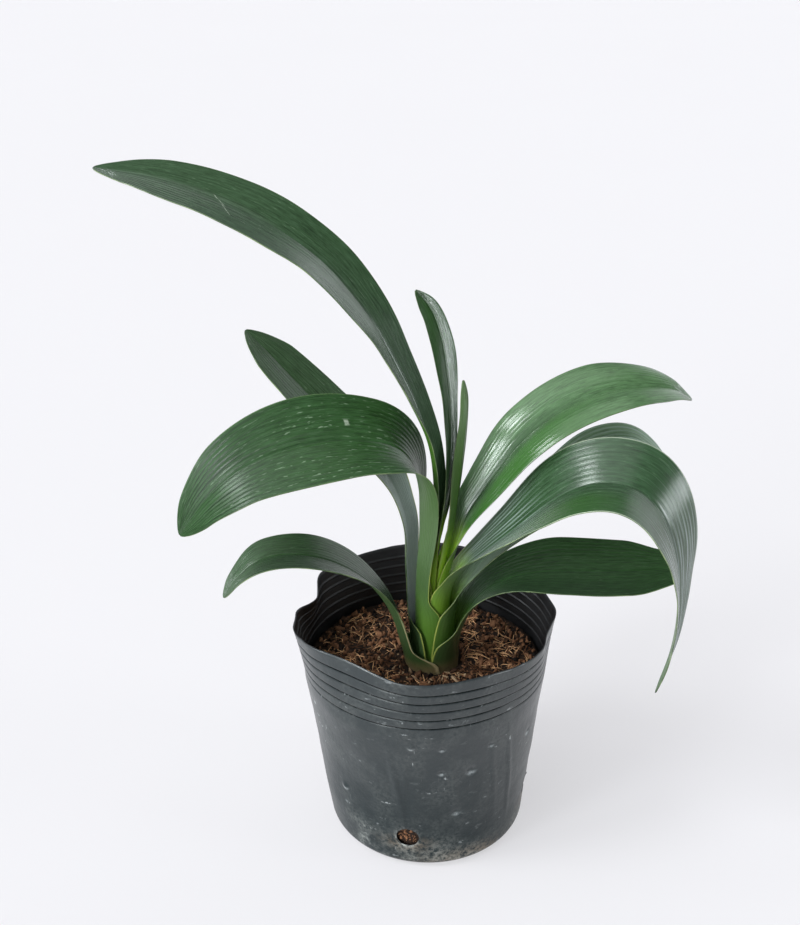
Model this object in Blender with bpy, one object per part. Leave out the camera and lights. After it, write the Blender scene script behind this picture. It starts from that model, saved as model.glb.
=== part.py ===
"""A young clivia in a thin black nursery pot.

Ten strap leaves stand in two ranks on a short stem. Each leaf clasps the next one in with a
sheath, a channel that is bent round the stem, and opens into an arching blade. The stem sits in
a hole in the soil, and the soil fills the pot to about 40 mm below its wavy rim.

Metres, +Z up. The origin is the middle of the pot's underside, and the front is -Y.
"""

import math

import bmesh
import bpy
import numpy as np
from mathutils import Matrix, Vector, noise

# Pot: a soft moulded film bag, a little oval and leaning
RIM_RADIUS = 0.080
BASE_RADIUS = 0.0625
POT_HEIGHT = 0.148
POT_WALL = 0.0009
BASE_ROUNDING = 0.007
BASE_STEPS = 3
POT_SIDES = 40
RIM_LEAN = Vector((-0.003, 0.004, 0.0))
RIM_FLATTENING = 0.03
RIM_BULGE = 0.0008
RIM_WAVE = 0.0022
BUCKLE_FOOT = 0.113
GROOVE_COUNT = 5
GROOVE_FIRST = 0.008
GROOVE_PITCH = 0.0061
GROOVE_DEPTH = 0.0009
DRAIN_RADIUS = 0.007
DRAIN_HEIGHT = 0.025
DRAIN_TURNS = (-100, -10, 80, 170)
DRAIN_SIDES = 12
DRAIN_CUT = 0.02
FLOOR_RING = 0.030
WALL_RINGS = (0.050, 0.085)

# Slow waves round the rim: (lobes in one turn, phase, share)
BULGES = ((3, 0.6, 0.6), (7, 0.0, 0.25))
LIFTS = ((2, -math.pi / 2, 1.0), (5, 1.0, 0.5))

# Where the rim's film is buckled: (direction, half of its spread, inward, down)
BUCKLES = (
    (163, 17, 0.0090, 0.0034),
    (193, 12, -0.0022, 0.0),
    (-14, 13, 0.0026, 0.0012),
    (3, 10, -0.0016, 0.0),
    (-52, 12, 0.0012, 0.0010),
    (-125, 36, 0.0040, -0.0040),
)

# Soil
SOIL_LEVEL = 0.110
SOIL_GAP = 0.0006
SOIL_RELIEF = 0.0022
SOIL_GRAIN = 70.0
SOIL_RINGS = (0.026, 0.036, 0.047, 0.058)
SOIL_EDGE_DROP = 0.004

# Stem and the place where it stands
STEM_PLACE = Vector((0.003, 0.006, 0.0))
STEM_RADIUS = 0.0176
STEM_FOOT = 0.070
STEM_ROUNDING = (0.004, 0.008)
STEM_SIDES = 20
LEAF_FOOT = 0.100
HOLE_RADIUS = 0.0183
REST_GAP = 0.0003
SAME_PLACE = 0.001

# Leaves
LEAF_THICKNESS = 0.0010
OUTER_SHEATH = 0.0170
SHEATH_STEP = 0.0015
SHEATH_WRAP = 114
WRAP_PER_RISE = 800
NECK_WRAP = 62
NECK_RISE = 0.013
NECK_OPENING = 0.0015
FREE_RISE = 0.030
LEAN_RAMP = 0.040
LEAF_ROWS = 24
SPINE_SAMPLES = 400
WIDE_COLUMNS = 10
NARROW_COLUMNS = 8
NARROW_SHEATH = 0.009
TIP_HALF_WIDTH = 0.0012

# Outermost leaf first. Each spine is a list of (distance from the stem's axis, height above the
# soil) and starts at the foot of its sheath. crossing is the height at which the sheath's two
# margins pass the front and back of the stem. The rest are pairs at shares of the length: widths
# gives half widths, hollows the half angle that the blade is bent through from edge to edge, and
# rolls how far its face turns to the front. lean is the height above the soil from which a leaf
# also leans to the back, and its slope.
LEAVES = (
    {
        "turn": 195,
        "crossing": 0.004,
        "spine": (
            (0.0170, -0.010), (0.0176, 0.003), (0.0208, 0.018), (0.0260, 0.038), (0.0325, 0.052),
            (0.0405, 0.0635), (0.0520, 0.0745), (0.0660, 0.0835), (0.0800, 0.0890),
            (0.0950, 0.0910), (0.1080, 0.0890), (0.1200, 0.0800), (0.1290, 0.0675),
        ),
        "neck": 0.0125,
        "widths": ((0.35, 0.0135), (0.60, 0.0186), (0.80, 0.0160), (0.93, 0.0088)),
        "hollows": ((0.40, 34), (0.60, 26), (1.0, 14)),
        "rolls": ((0.25, 0), (0.60, 4), (1.0, 6)),
    },
    {
        "turn": 1,
        "crossing": 0.016,
        "spine": (
            (0.0155, -0.010), (0.0155, 0.012), (0.0168, 0.0225), (0.0235, 0.042), (0.0330, 0.0535),
            (0.0465, 0.0610), (0.0680, 0.0655), (0.0950, 0.0660), (0.1230, 0.0662),
            (0.1440, 0.0680), (0.1560, 0.0710),
        ),
        "neck": 0.014,
        "widths": ((0.35, 0.0180), (0.60, 0.0265), (0.80, 0.0250), (0.92, 0.0165)),
        "hollows": ((0.40, 32), (0.60, 22), (1.0, 10)),
        "rolls": ((0.30, 2), (0.60, 10), (1.0, 12)),
    },
    {
        "turn": 150,
        "crossing": 0.026,
        "spine": (
            (0.0140, -0.010), (0.0140, 0.018), (0.0165, 0.038), (0.0190, 0.068), (0.0200, 0.096),
            (0.0245, 0.109), (0.0320, 0.122), (0.0440, 0.134), (0.0600, 0.146), (0.0800, 0.157),
            (0.0960, 0.168), (0.1190, 0.185), (0.1350, 0.196),
        ),
        "neck": 0.0090,
        "widths": ((0.33, 0.0082), (0.44, 0.0095), (0.52, 0.0130), (0.62, 0.0168), (0.78, 0.0195),
                   (0.90, 0.0165), (0.96, 0.010)),
        "hollows": ((0.33, 52), (0.46, 46), (0.65, 26), (1.0, 14)),
        "rolls": ((0.40, 0), (0.70, 5), (1.0, 6)),
    },
    {
        "turn": 10,
        "crossing": 0.037,
        "spine": (
            (0.0125, -0.010), (0.0125, 0.026), (0.0148, 0.046), (0.0215, 0.059), (0.0390, 0.080),
            (0.0610, 0.0990), (0.0840, 0.1210), (0.1025, 0.1355), (0.1205, 0.1385),
            (0.1350, 0.1285), (0.1465, 0.1095), (0.1550, 0.0865), (0.1605, 0.0620),
        ),
        "neck": 0.0125,
        "widths": ((0.35, 0.0165), (0.60, 0.0245), (0.82, 0.0170), (0.94, 0.0085)),
        "hollows": ((0.35, 40), (0.60, 28), (1.0, 14)),
        "rolls": ((0.30, 4), (0.60, 14), (1.0, 8)),
    },
    {
        "turn": 200,
        "crossing": 0.039,
        "spine": (
            (0.0110, -0.010), (0.0110, 0.040), (0.0105, 0.070), (0.0088, 0.092), (0.0088, 0.112),
            (0.0098, 0.126), (0.0135, 0.141), (0.0210, 0.152), (0.0310, 0.1585), (0.0470, 0.1635),
            (0.0640, 0.1655), (0.0820, 0.1650), (0.1000, 0.1620), (0.1170, 0.1555),
            (0.1345, 0.1425), (0.1525, 0.1210),
        ),
        "neck": 0.0105,
        "widths": ((0.38, 0.0145), (0.50, 0.0225), (0.58, 0.0270), (0.70, 0.0295),
                   (0.86, 0.0230), (0.95, 0.0135)),
        "hollows": ((0.38, 56), (0.48, 46), (0.60, 26), (1.0, 12)),
        "rolls": ((0.36, 0), (0.47, 14), (0.57, 30), (0.70, 34), (1.0, 30)),
    },
    {
        "turn": -15,
        "crossing": 0.051,
        "spine": (
            (0.0095, -0.010), (0.0095, 0.049), (0.0117, 0.060), (0.0187, 0.0715), (0.0265, 0.080),
            (0.0360, 0.090), (0.0475, 0.102), (0.0590, 0.1145), (0.0750, 0.1305), (0.0905, 0.1405),
            (0.1070, 0.1435), (0.1200, 0.1405), (0.1305, 0.1305), (0.1385, 0.1165),
            (0.1435, 0.1010), (0.1465, 0.0815), (0.1480, 0.0610), (0.1470, 0.0400),
            (0.1400, 0.0040),
        ),
        "neck": 0.0125,
        "widths": ((0.30, 0.0175), (0.48, 0.0290), (0.58, 0.0300), (0.70, 0.0240), (0.85, 0.0110), (0.95, 0.005)),
        "hollows": ((0.30, 46), (0.50, 32), (0.70, 28), (1.0, 16)),
        "rolls": ((0.25, 6), (0.45, 21), (0.60, 20), (0.75, 12), (1.0, 0)),
    },
    {
        "turn": 168,
        "crossing": 0.058,
        "spine": (
            (0.0080, -0.010), (0.0080, 0.058), (0.0055, 0.082), (0.0005, 0.111), (0.0010, 0.136),
            (0.0045, 0.1565), (0.0098, 0.1710), (0.0170, 0.1875), (0.0260, 0.2050),
            (0.0362, 0.2240), (0.0500, 0.2425), (0.0645, 0.2580), (0.0848, 0.2725),
            (0.1070, 0.2840), (0.1330, 0.2935), (0.1650, 0.3010), (0.1980, 0.3040),
        ),
        "neck": 0.0110,
        "widths": ((0.32, 0.0112), (0.45, 0.0125), (0.55, 0.0165), (0.66, 0.0205), (0.78, 0.0215),
                   (0.90, 0.0170), (0.96, 0.0110)),
        "hollows": ((0.30, 52), (0.45, 42), (0.65, 26), (1.0, 10)),
        "rolls": ((0.35, 0), (0.55, 14), (0.80, 18), (1.0, 16)),
    },
    {
        "turn": 18,
        "crossing": 0.070,
        "spine": (
            (0.0065, -0.010), (0.0065, 0.054), (0.0092, 0.067), (0.0150, 0.083), (0.0200, 0.102),
            (0.0290, 0.1150), (0.0390, 0.1285), (0.0540, 0.1468), (0.0742, 0.1612),
            (0.1020, 0.1712), (0.1320, 0.1722), (0.1520, 0.1676), (0.1640, 0.1600),
        ),
        "neck": 0.0100,
        "widths": ((0.40, 0.0122), (0.50, 0.0160), (0.62, 0.0212), (0.78, 0.0235),
                   (0.90, 0.0170), (0.96, 0.010)),
        "hollows": ((0.40, 44), (0.60, 30), (1.0, 12)),
        "rolls": ((0.30, 0), (0.42, 20), (0.52, 24), (0.66, 17), (1.0, 14)),
    },
    {
        "turn": 180,
        "crossing": 0.078,
        "spine": (
            (0.0050, -0.010), (0.0050, 0.052), (0.0025, 0.080), (-0.0050, 0.112), (-0.0088, 0.1512),
            (-0.0080, 0.1687), (-0.0058, 0.1885), (-0.0023, 0.2066), (0.0036, 0.2212), (0.0128, 0.2313),
        ),
        "lean": (0.105, 0.42),
        "neck": 0.0075,
        "widths": ((0.45, 0.0056), (0.62, 0.0038), (0.72, 0.0047), (0.86, 0.0074), (0.96, 0.0058)),
        "hollows": ((0.55, 50), (0.80, 44), (1.0, 30)),
        "rolls": ((0.30, 0), (0.55, 40), (0.75, 80), (1.0, 88)),
    },
    {
        "turn": 4,
        "crossing": 0.080,
        "spine": (
            (0.0035, -0.010), (0.0035, 0.045), (0.0065, 0.070), (0.0115, 0.100), (0.0135, 0.1242),
            (0.0158, 0.1460), (0.0174, 0.1622), (0.0171, 0.1728), (0.0158, 0.1826),
        ),
        "lean": (0.105, 0.42),
        "neck": 0.0055,
        "widths": ((0.55, 0.0049), (0.80, 0.0060), (0.92, 0.0042)),
        "hollows": ((0.60, 44), (0.80, 34), (1.0, 20)),
        "rolls": ((0.35, 0), (0.60, -30), (1.0, -45)),
    },
)


def clear_scene():
    for old in list(bpy.data.objects):
        bpy.data.objects.remove(old, do_unlink=True)


def material(name, colour, roughness):
    made = bpy.data.materials.new(name)
    made.use_nodes = True
    shader = made.node_tree.nodes["Principled BSDF"]
    shader.inputs["Base Color"].default_value = (*colour, 1.0)
    shader.inputs["Roughness"].default_value = roughness
    shader.inputs["Metallic"].default_value = 0.0
    made.diffuse_color = (*colour, 1.0)
    return made


def add_object(name, shape, finish):
    """Closes a bmesh into a named object with its material, shaded smooth."""
    mesh = bpy.data.meshes.new(name)
    shape.to_mesh(mesh)
    shape.free()
    mesh.materials.append(finish)
    mesh.shade_smooth()
    made = bpy.data.objects.new(name, mesh)
    bpy.context.scene.collection.objects.link(made)
    return made


def smooth_curve(knots, values, where, free_from=None):
    """A soft curve through (knot, value) pairs, read at the given places.

    It never overshoots, except from knot number free_from on, where it arches freely.
    """
    knots = np.asarray(knots, float)
    values = np.asarray(values, float)
    rises = np.diff(values) / np.diff(knots)
    before, after = rises[:-1], rises[1:]
    same_way = before * after > 0
    total = np.where(same_way, before + after, 1.0)
    middle = np.where(same_way, 2 * before * after / total, 0.0)
    if free_from is not None:
        gaps = np.diff(knots)
        mean = (before * gaps[1:] + after * gaps[:-1]) / (gaps[1:] + gaps[:-1])
        middle[free_from - 1:] = mean[free_from - 1:]
    slopes = np.concatenate([rises[:1], middle, rises[-1:]])
    piece = np.clip(np.searchsorted(knots, where) - 1, 0, len(knots) - 2)
    width = knots[piece + 1] - knots[piece]
    u = (where - knots[piece]) / width
    start = values[piece] * (2 * u**3 - 3 * u**2 + 1)
    end = values[piece + 1] * (3 * u**2 - 2 * u**3)
    leave = slopes[piece] * width * (u**3 - 2 * u**2 + u)
    arrive = slopes[piece + 1] * width * (u**3 - u**2)
    return start + end + leave + arrive


def turned(profile, sides):
    """A bmesh skin made by turning a profile of (radius, height) once round the Z axis."""
    shape = bmesh.new()
    verts = [shape.verts.new((radius, 0.0, height)) for radius, height in profile]
    edges = [shape.edges.new(pair) for pair in zip(verts, verts[1:])]
    bmesh.ops.spin(
        shape, geom=verts + edges, cent=(0, 0, 0), axis=(0, 0, 1), angle=math.tau,
        steps=sides, use_merge=True,
    )
    bmesh.ops.remove_doubles(shape, verts=shape.verts, dist=1e-6)
    bmesh.ops.recalc_face_normals(shape, faces=shape.faces)
    return shape


def wall_radius(height):
    """Radius of the middle of the pot's film at a height, before it is bent out of round."""
    rise = (height - BASE_ROUNDING) / (POT_HEIGHT - BASE_ROUNDING)
    return BASE_RADIUS + (RIM_RADIUS - BASE_RADIUS) * rise


def waves(lobes, angle):
    return sum(share * math.sin(count * angle + phase) for count, phase, share in lobes)


def buckled(turn, height):
    """How far the buckles move the film inward and down, for a direction in degrees."""
    rise = max(0.0, height - BUCKLE_FOOT) / (POT_HEIGHT - BUCKLE_FOOT)
    inward = 0.0
    down = 0.0
    for middle, spread, push, drop in BUCKLES:
        away = (turn - middle + 180) % 360 - 180
        if abs(away) < spread:
            share = rise**1.5 * math.cos(math.pi / 2 * away / spread) ** 2
            inward += push * share
            down += drop * share
    return inward, down


def bend_out_of_round(shape):
    """Leans, flattens and waves a turned shape as the soft pot does, most of all at the rim."""
    for vert in shape.verts:
        x, y, z = vert.co
        rise = max(0.0, z / POT_HEIGHT)
        angle = math.atan2(y, x)
        inward, down = buckled(math.degrees(angle), z)
        inward -= rise**3 * RIM_BULGE * waves(BULGES, angle)
        stretch = 1.0 - inward / RIM_RADIUS
        vert.co.x = x * stretch + RIM_LEAN.x * rise
        vert.co.y = y * stretch * (1.0 - RIM_FLATTENING * rise) + RIM_LEAN.y * rise
        vert.co.z = z + rise**6 * RIM_WAVE * waves(LIFTS, angle) - down


def rounded_foot(inset, floor):
    """Profile points of the rounded bottom edge, moved in by an inset, on a floor height."""
    radius = BASE_ROUNDING - inset
    middle = BASE_RADIUS - BASE_ROUNDING
    for step in range(BASE_STEPS + 1):
        angle = -math.pi / 2 + step * math.pi / 2 / BASE_STEPS
        yield middle + radius * math.cos(angle), floor + radius * (1 + math.sin(angle))


def build_pot(finish):
    profile = [(0.0, POT_WALL / 2), (FLOOR_RING, POT_WALL / 2)]
    profile += rounded_foot(0.0, POT_WALL / 2)
    profile += [(wall_radius(height), height) for height in WALL_RINGS]
    lowest_groove = GROOVE_FIRST + GROOVE_PITCH * (GROOVE_COUNT - 1)
    for step in range(2 * GROOVE_COUNT + 1):
        height = POT_HEIGHT - lowest_groove + (step - 1) * GROOVE_PITCH / 2
        in_groove = GROOVE_DEPTH if step % 2 else 0.0
        profile.append((wall_radius(height) - in_groove, height))
    profile.append((RIM_RADIUS, POT_HEIGHT))
    shape = turned(profile, POT_SIDES)
    bend_out_of_round(shape)
    pot = add_object("pot", shape, finish)
    wall = pot.modifiers.new("wall", "SOLIDIFY")
    wall.thickness = POT_WALL
    wall.offset = 0.0
    wall.use_even_offset = True
    for number, turn in enumerate(DRAIN_TURNS):
        cutter = drain_cutter(f"drain_cutter_{number + 1}", turn)
        hole = pot.modifiers.new(f"drain {number + 1}", "BOOLEAN")
        hole.operation = "DIFFERENCE"
        hole.solver = "EXACT"
        hole.object = cutter
    return pot


def drain_cutter(name, turn):
    """A short rod that lies along the radius and cuts one hole low in the pot's side."""
    shape = bmesh.new()
    bmesh.ops.create_cone(
        shape, cap_ends=True, segments=DRAIN_SIDES, radius1=DRAIN_RADIUS, radius2=DRAIN_RADIUS,
        depth=DRAIN_CUT,
    )
    lie_down = Matrix.Rotation(math.pi / 2, 4, "Y")
    move_out = Matrix.Translation((wall_radius(DRAIN_HEIGHT), 0.0, DRAIN_HEIGHT))
    swing = Matrix.Rotation(math.radians(turn), 4, "Z")
    bmesh.ops.transform(shape, matrix=swing @ move_out @ lie_down, verts=shape.verts)
    mesh = bpy.data.meshes.new(name)
    shape.to_mesh(mesh)
    shape.free()
    cutter = bpy.data.objects.new(name, mesh)
    bpy.context.scene.collection.objects.link(cutter)
    cutter.hide_render = True
    cutter.display_type = "WIRE"
    return cutter


def build_soil(finish):
    """Soil that fills the pot, with a rough top and a hole for the stem."""
    inset = POT_WALL / 2 + SOIL_GAP
    floor = POT_WALL + REST_GAP
    hole_floor = STEM_FOOT - REST_GAP
    hole = [(0.0, hole_floor), (HOLE_RADIUS, hole_floor), (HOLE_RADIUS, SOIL_LEVEL)]
    top = [(radius, SOIL_LEVEL) for radius in SOIL_RINGS]
    heights = (SOIL_LEVEL - SOIL_EDGE_DROP, *WALL_RINGS[::-1])
    side = [(wall_radius(height) - inset - GROOVE_DEPTH, height) for height in heights]
    foot = list(rounded_foot(inset, floor))[::-1]
    shape = turned(hole + top + side + foot + [(FLOOR_RING, floor), (0.0, floor)], POT_SIDES)
    hole_verts = {}
    for vert in shape.verts:
        reach = vert.co.xy.length
        if vert.co.z > SOIL_LEVEL - SAME_PLACE and reach > HOLE_RADIUS + SAME_PLACE:
            vert.co.z += SOIL_RELIEF * noise.noise(vert.co * SOIL_GRAIN)
        if vert.co.z > hole_floor - SAME_PLACE:
            near = (SOIL_RINGS[-1] - reach) / (SOIL_RINGS[-1] - HOLE_RADIUS)
            hole_verts[vert] = (vert.co + STEM_PLACE, min(1.0, max(0.0, near)))
    bend_out_of_round(shape)
    for vert, (place, near) in hole_verts.items():
        vert.co = vert.co.lerp(place, near)
    return add_object("soil", shape, finish)


def build_stem(finish):
    """The short stem in the soil, which the leaves stand on."""
    top = LEAF_FOOT - REST_GAP
    inset, rise = STEM_ROUNDING
    profile = [
        (0.0, STEM_FOOT), (STEM_RADIUS - inset, STEM_FOOT), (STEM_RADIUS, STEM_FOOT + rise),
        (STEM_RADIUS, top), (0.0, top),
    ]
    shape = turned(profile, STEM_SIDES)
    bmesh.ops.translate(shape, verts=shape.verts, vec=STEM_PLACE)
    return add_object("stem", shape, finish)


def leaf_spine(spec):
    """Evenly spaced (reach, height) points along a leaf's spine, and their distances from its foot."""
    points = np.array(spec["spine"])
    chords = np.concatenate([[0.0], np.cumsum(np.hypot(*np.diff(points, axis=0).T))])
    fine = np.linspace(0.0, chords[-1], SPINE_SAMPLES)
    free = int(np.argmax(points[:, 1] > spec["crossing"] + FREE_RISE))
    curve = np.stack([smooth_curve(chords, points[:, axis], fine, free) for axis in (0, 1)], axis=1)
    along = np.concatenate([[0.0], np.cumsum(np.hypot(*np.diff(curve, axis=0).T))])
    distances = np.linspace(0.0, along[-1], LEAF_ROWS + 1)
    return np.stack([np.interp(distances, along, curve[:, axis]) for axis in (0, 1)], 1), distances


def leaf_sections(spec, radius, distances):
    """Half width, half angle of the hollow and roll of a leaf at distances from its foot."""
    length = distances[-1]
    crossing = spec["crossing"] + SOIL_LEVEL - LEAF_FOOT
    sheath = [0.0, crossing, crossing + NECK_RISE]
    foot_wrap = min(SHEATH_WRAP, 90 + WRAP_PER_RISE * spec["crossing"])
    neck_wrap = min(NECK_WRAP, math.degrees(spec["neck"] / (radius + NECK_OPENING)))
    shares, hollows = zip(*spec["hollows"])
    blade = [share * length for share in shares]
    wraps = smooth_curve(sheath + blade, (foot_wrap, 90, neck_wrap, *hollows), distances)
    wraps = np.radians(wraps)
    shares, widths = zip(*spec["widths"])
    blade = [share * length for share in shares]
    clasp = [radius * math.radians(foot_wrap), radius * math.pi / 2, spec["neck"]]
    halves = smooth_curve(sheath + blade + [length], clasp + [*widths, TIP_HALF_WIDTH], distances)
    halves = np.where(distances < crossing, radius * wraps, halves)
    shares, rolls = zip(*spec["rolls"])
    blade = [share * length for share in shares]
    rolls = smooth_curve([0.0, crossing, *blade], (0.0, 0.0, *rolls), distances)
    side = math.copysign(1.0, math.cos(math.radians(spec["turn"])))
    return halves, wraps, side * np.radians(rolls)


def leaned_back(spec, height):
    """How far a leaf's lean moves a point at a height to the back."""
    start, lean = spec.get("lean", (0.0, 0.0))
    rise = max(0.0, height - SOIL_LEVEL - start)
    if rise < LEAN_RAMP:
        return lean * rise**2 / (2 * LEAN_RAMP)
    return lean * (rise - LEAN_RAMP / 2)


def build_leaf(number, spec, finish):
    """One leaf: a flat grid that is bent into a clasping sheath and an arching blade."""
    radius = OUTER_SHEATH - SHEATH_STEP * (number - 1)
    across = WIDE_COLUMNS if radius > NARROW_SHEATH else NARROW_COLUMNS
    spine, distances = leaf_spine(spec)
    halves, wraps, rolls = leaf_sections(spec, radius, distances)
    slopes = np.gradient(spine, distances, axis=0)
    slopes[0] = (0.0, 1.0)
    turn = math.radians(spec["turn"])
    outward = np.array([math.cos(turn), math.sin(turn), 0.0])
    upward = np.array([0.0, 0.0, 1.0])
    foot = np.array([*STEM_PLACE.xy, SOIL_LEVEL])

    shape = bmesh.new()
    bmesh.ops.create_grid(shape, x_segments=across, y_segments=LEAF_ROWS, size=0.5)
    for vert in shape.verts:
        place = 2 * vert.co.x
        row = round((vert.co.y + 0.5) * LEAF_ROWS)
        run, climb = slopes[row] / np.hypot(*slopes[row])
        along = run * outward + climb * upward
        inner = run * upward - climb * outward
        sideways = np.cross(along, inner)
        face = inner * math.cos(rolls[row]) + sideways * math.sin(rolls[row])
        edge = sideways * math.cos(rolls[row]) - inner * math.sin(rolls[row])
        bend = halves[row] / wraps[row]
        angle = place * wraps[row]
        middle = foot + spine[row, 0] * outward + spine[row, 1] * upward
        vert.co = middle + edge * bend * math.sin(angle) + face * bend * (1 - math.cos(angle))
        vert.co.y += leaned_back(spec, vert.co.z)
    bmesh.ops.recalc_face_normals(shape, faces=shape.faces)
    bmesh.ops.triangulate(shape, faces=shape.faces, quad_method="FIXED")
    leaf = add_object(f"leaf_{number}", shape, finish)
    blade = leaf.modifiers.new("thickness", "SOLIDIFY")
    blade.thickness = LEAF_THICKNESS
    blade.offset = 0.0
    return leaf


def main():
    clear_scene()
    build_pot(material("black_film", (0.028, 0.033, 0.037), 0.45))
    build_soil(material("soil", (0.055, 0.028, 0.016), 0.95))
    build_stem(material("stem", (0.35, 0.33, 0.12), 0.6))
    leaf_green = material("leaf", (0.020, 0.090, 0.022), 0.35)
    for number, spec in enumerate(LEAVES, start=1):
        build_leaf(number, spec, leaf_green)


main()
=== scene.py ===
# %% [markdown]
# A young clivia in a soft black nursery pot
#
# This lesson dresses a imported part: ten strap leaves on a short stem, in soil, in a pot of thin
# black film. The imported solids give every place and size. Each piece here is a finer mesh that
# keeps the form of the solid that it stands for, and adds ribs, grooves, grit and finish.

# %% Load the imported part
import math

import bmesh
import bpy
import numpy as np
from mathutils import Matrix, Vector, noise


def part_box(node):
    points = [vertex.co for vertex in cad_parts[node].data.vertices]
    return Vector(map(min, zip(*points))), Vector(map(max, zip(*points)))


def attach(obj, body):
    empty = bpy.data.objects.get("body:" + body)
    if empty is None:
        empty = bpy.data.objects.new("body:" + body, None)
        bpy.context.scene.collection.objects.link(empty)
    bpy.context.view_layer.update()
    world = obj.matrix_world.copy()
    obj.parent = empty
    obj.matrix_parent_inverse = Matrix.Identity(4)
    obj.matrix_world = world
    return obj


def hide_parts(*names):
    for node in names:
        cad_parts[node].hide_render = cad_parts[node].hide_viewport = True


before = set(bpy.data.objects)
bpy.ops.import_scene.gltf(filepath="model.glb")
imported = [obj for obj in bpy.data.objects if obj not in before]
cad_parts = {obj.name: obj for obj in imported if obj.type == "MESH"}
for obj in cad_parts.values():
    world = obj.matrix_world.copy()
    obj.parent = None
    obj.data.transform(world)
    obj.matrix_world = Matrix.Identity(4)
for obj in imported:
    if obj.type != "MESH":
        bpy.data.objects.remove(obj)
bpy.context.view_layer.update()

print("packed nodes:", ", ".join(sorted(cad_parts)))

# %% [markdown]
# Sizes
#
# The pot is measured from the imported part. The rest repeats the sizes that the part was built
# with, so that each finer piece lies where its solid does. All are in metres and degrees.

# %% Sizes of the pot, the soil and the sheaths
POT_LOW, POT_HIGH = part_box("pot")
RIM_RADIUS = 0.080
BASE_RADIUS = 0.0625
POT_HEIGHT = 0.148
FILM = 0.0007
BASE_ROUNDING = 0.007
RIM_LEAN = Vector((-0.003, 0.004, 0.0))
RIM_FLATTENING = 0.03
GROOVES = [0.008 + 0.0061 * step for step in range(5)]
DRAIN_RADIUS = 0.007
DRAIN_HEIGHT = 0.025
DRAIN_TURNS = (-100, -10, 80, 170)
SOIL_LEVEL = 0.110
STEM_PLACE = Vector((0.003, 0.006, 0.0))
OUTER_SHEATH = 0.0170
SHEATH_STEP = 0.0015
NECK_RISE = 0.013
LEAF_FOOT = 0.100
print(f"the pot is {(POT_HIGH.x - POT_LOW.x) * 1000:.0f} mm wide over its buckled rim")

# %% [markdown]
# Making pieces and finishes
#
# Every piece is a bmesh that becomes an object at the origin, so one helper does that for all of
# them. Finishes are node trees. Writing them with a few short helpers keeps the recipe readable:
# what matters is which pattern drives the colour, the roughness and the bump.

# %% Turn a bmesh into a piece
def make_piece(name, shape, finishes, nodes=()):
    """Gives a bmesh a name, its finishes and its place on the plant's one body."""
    mesh = bpy.data.meshes.new(name)
    shape.to_mesh(mesh)
    shape.free()
    for finish in finishes:
        mesh.materials.append(finish)
    mesh.shade_smooth()
    piece = bpy.data.objects.new(name, mesh)
    bpy.context.scene.collection.objects.link(piece)
    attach(piece, "root")
    if nodes:
        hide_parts(*nodes)
    print(f"{name}: {len(mesh.polygons)} faces")
    return piece


# %% Short words for shader nodes
def new_finish(name, **values):
    """A material, its tree and its shader, with the values that are the same all over."""
    made = bpy.data.materials.new(name)
    made.use_nodes = True
    shader = made.node_tree.nodes["Principled BSDF"]
    for socket, value in values.items():
        shader.inputs[socket.replace("_", " ")].default_value = value
    return made, made.node_tree, shader


def add_node(tree, kind, values, **settings):
    """Adds a node, sets or links its inputs by name or number, and returns it."""
    made = tree.nodes.new("ShaderNode" + kind)
    for key, value in settings.items():
        setattr(made, key, value)
    for key, value in values.items():
        if isinstance(value, bpy.types.NodeSocket):
            tree.links.new(value, made.inputs[key])
        else:
            made.inputs[key].default_value = value
    return made


def calc(tree, operation, first, second=0.0):
    return add_node(tree, "Math", {0: first, 1: second}, operation=operation).outputs[0]


def plus(tree, first, second):
    return calc(tree, "ADD", first, second)


def times(tree, *parts):
    """The product of several values, of which at least one is a socket."""
    product = parts[0]
    for part in parts[1:]:
        product = calc(tree, "MULTIPLY", product, part)
    return product


def ease(tree, value, low, high, start=0.0, end=1.0):
    """A soft step from start to end while the value goes from low to high."""
    limits = {"Value": value, "From Min": low, "From Max": high, "To Min": start, "To Max": end}
    return add_node(tree, "MapRange", limits, interpolation_type="SMOOTHSTEP").outputs[0]


def blend_colour(tree, share, first, second):
    """Mixes two colours, each a socket or three numbers."""
    ends = {0: share}
    for place, colour in ((6, first), (7, second)):
        ends[place] = (*colour, 1.0) if isinstance(colour, tuple) else colour
    return add_node(tree, "Mix", ends, data_type="RGBA").outputs[2]


def grain(tree, where, scale, detail=3.0, roughness=0.5):
    """Cloudy noise from 0 to 1."""
    values = {"Vector": where, "Scale": scale, "Detail": detail, "Roughness": roughness}
    return add_node(tree, "TexNoise", values).outputs[0]


def stretch(tree, where, scale, shift=(0.0, 0.0, 0.0)):
    """Stretches and shifts coordinates, so that a round grain becomes a streak."""
    return add_node(tree, "Mapping", {"Vector": where, "Location": shift, "Scale": scale}).outputs[0]


def object_place(tree):
    return add_node(tree, "TexCoord", {}).outputs["Object"]


def mesh_value(tree, name):
    """A value that the piece's own mesh carries at each point."""
    return add_node(tree, "Attribute", {}, attribute_name=name).outputs["Fac"]


def split(tree, where):
    return add_node(tree, "SeparateXYZ", {0: where}).outputs


def feed(tree, shader, **sockets):
    """Links patterns to the shader's inputs of those names."""
    for socket, pattern in sockets.items():
        tree.links.new(pattern, shader.inputs[socket.replace("_", " ")])


def set_bump(tree, shader, height, depth, strength=1.0):
    """Feeds a height, in shares of a depth in metres, to the shader as fine relief."""
    values = {"Height": height, "Distance": depth, "Strength": strength}
    made = add_node(tree, "Bump", values)
    feed(tree, shader, Normal=made.outputs[0])
    return made.outputs[0]


def scaled(tone, factor):
    """A colour made lighter or darker."""
    return tuple(part * factor for part in tone)


print("helpers are ready")

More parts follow.
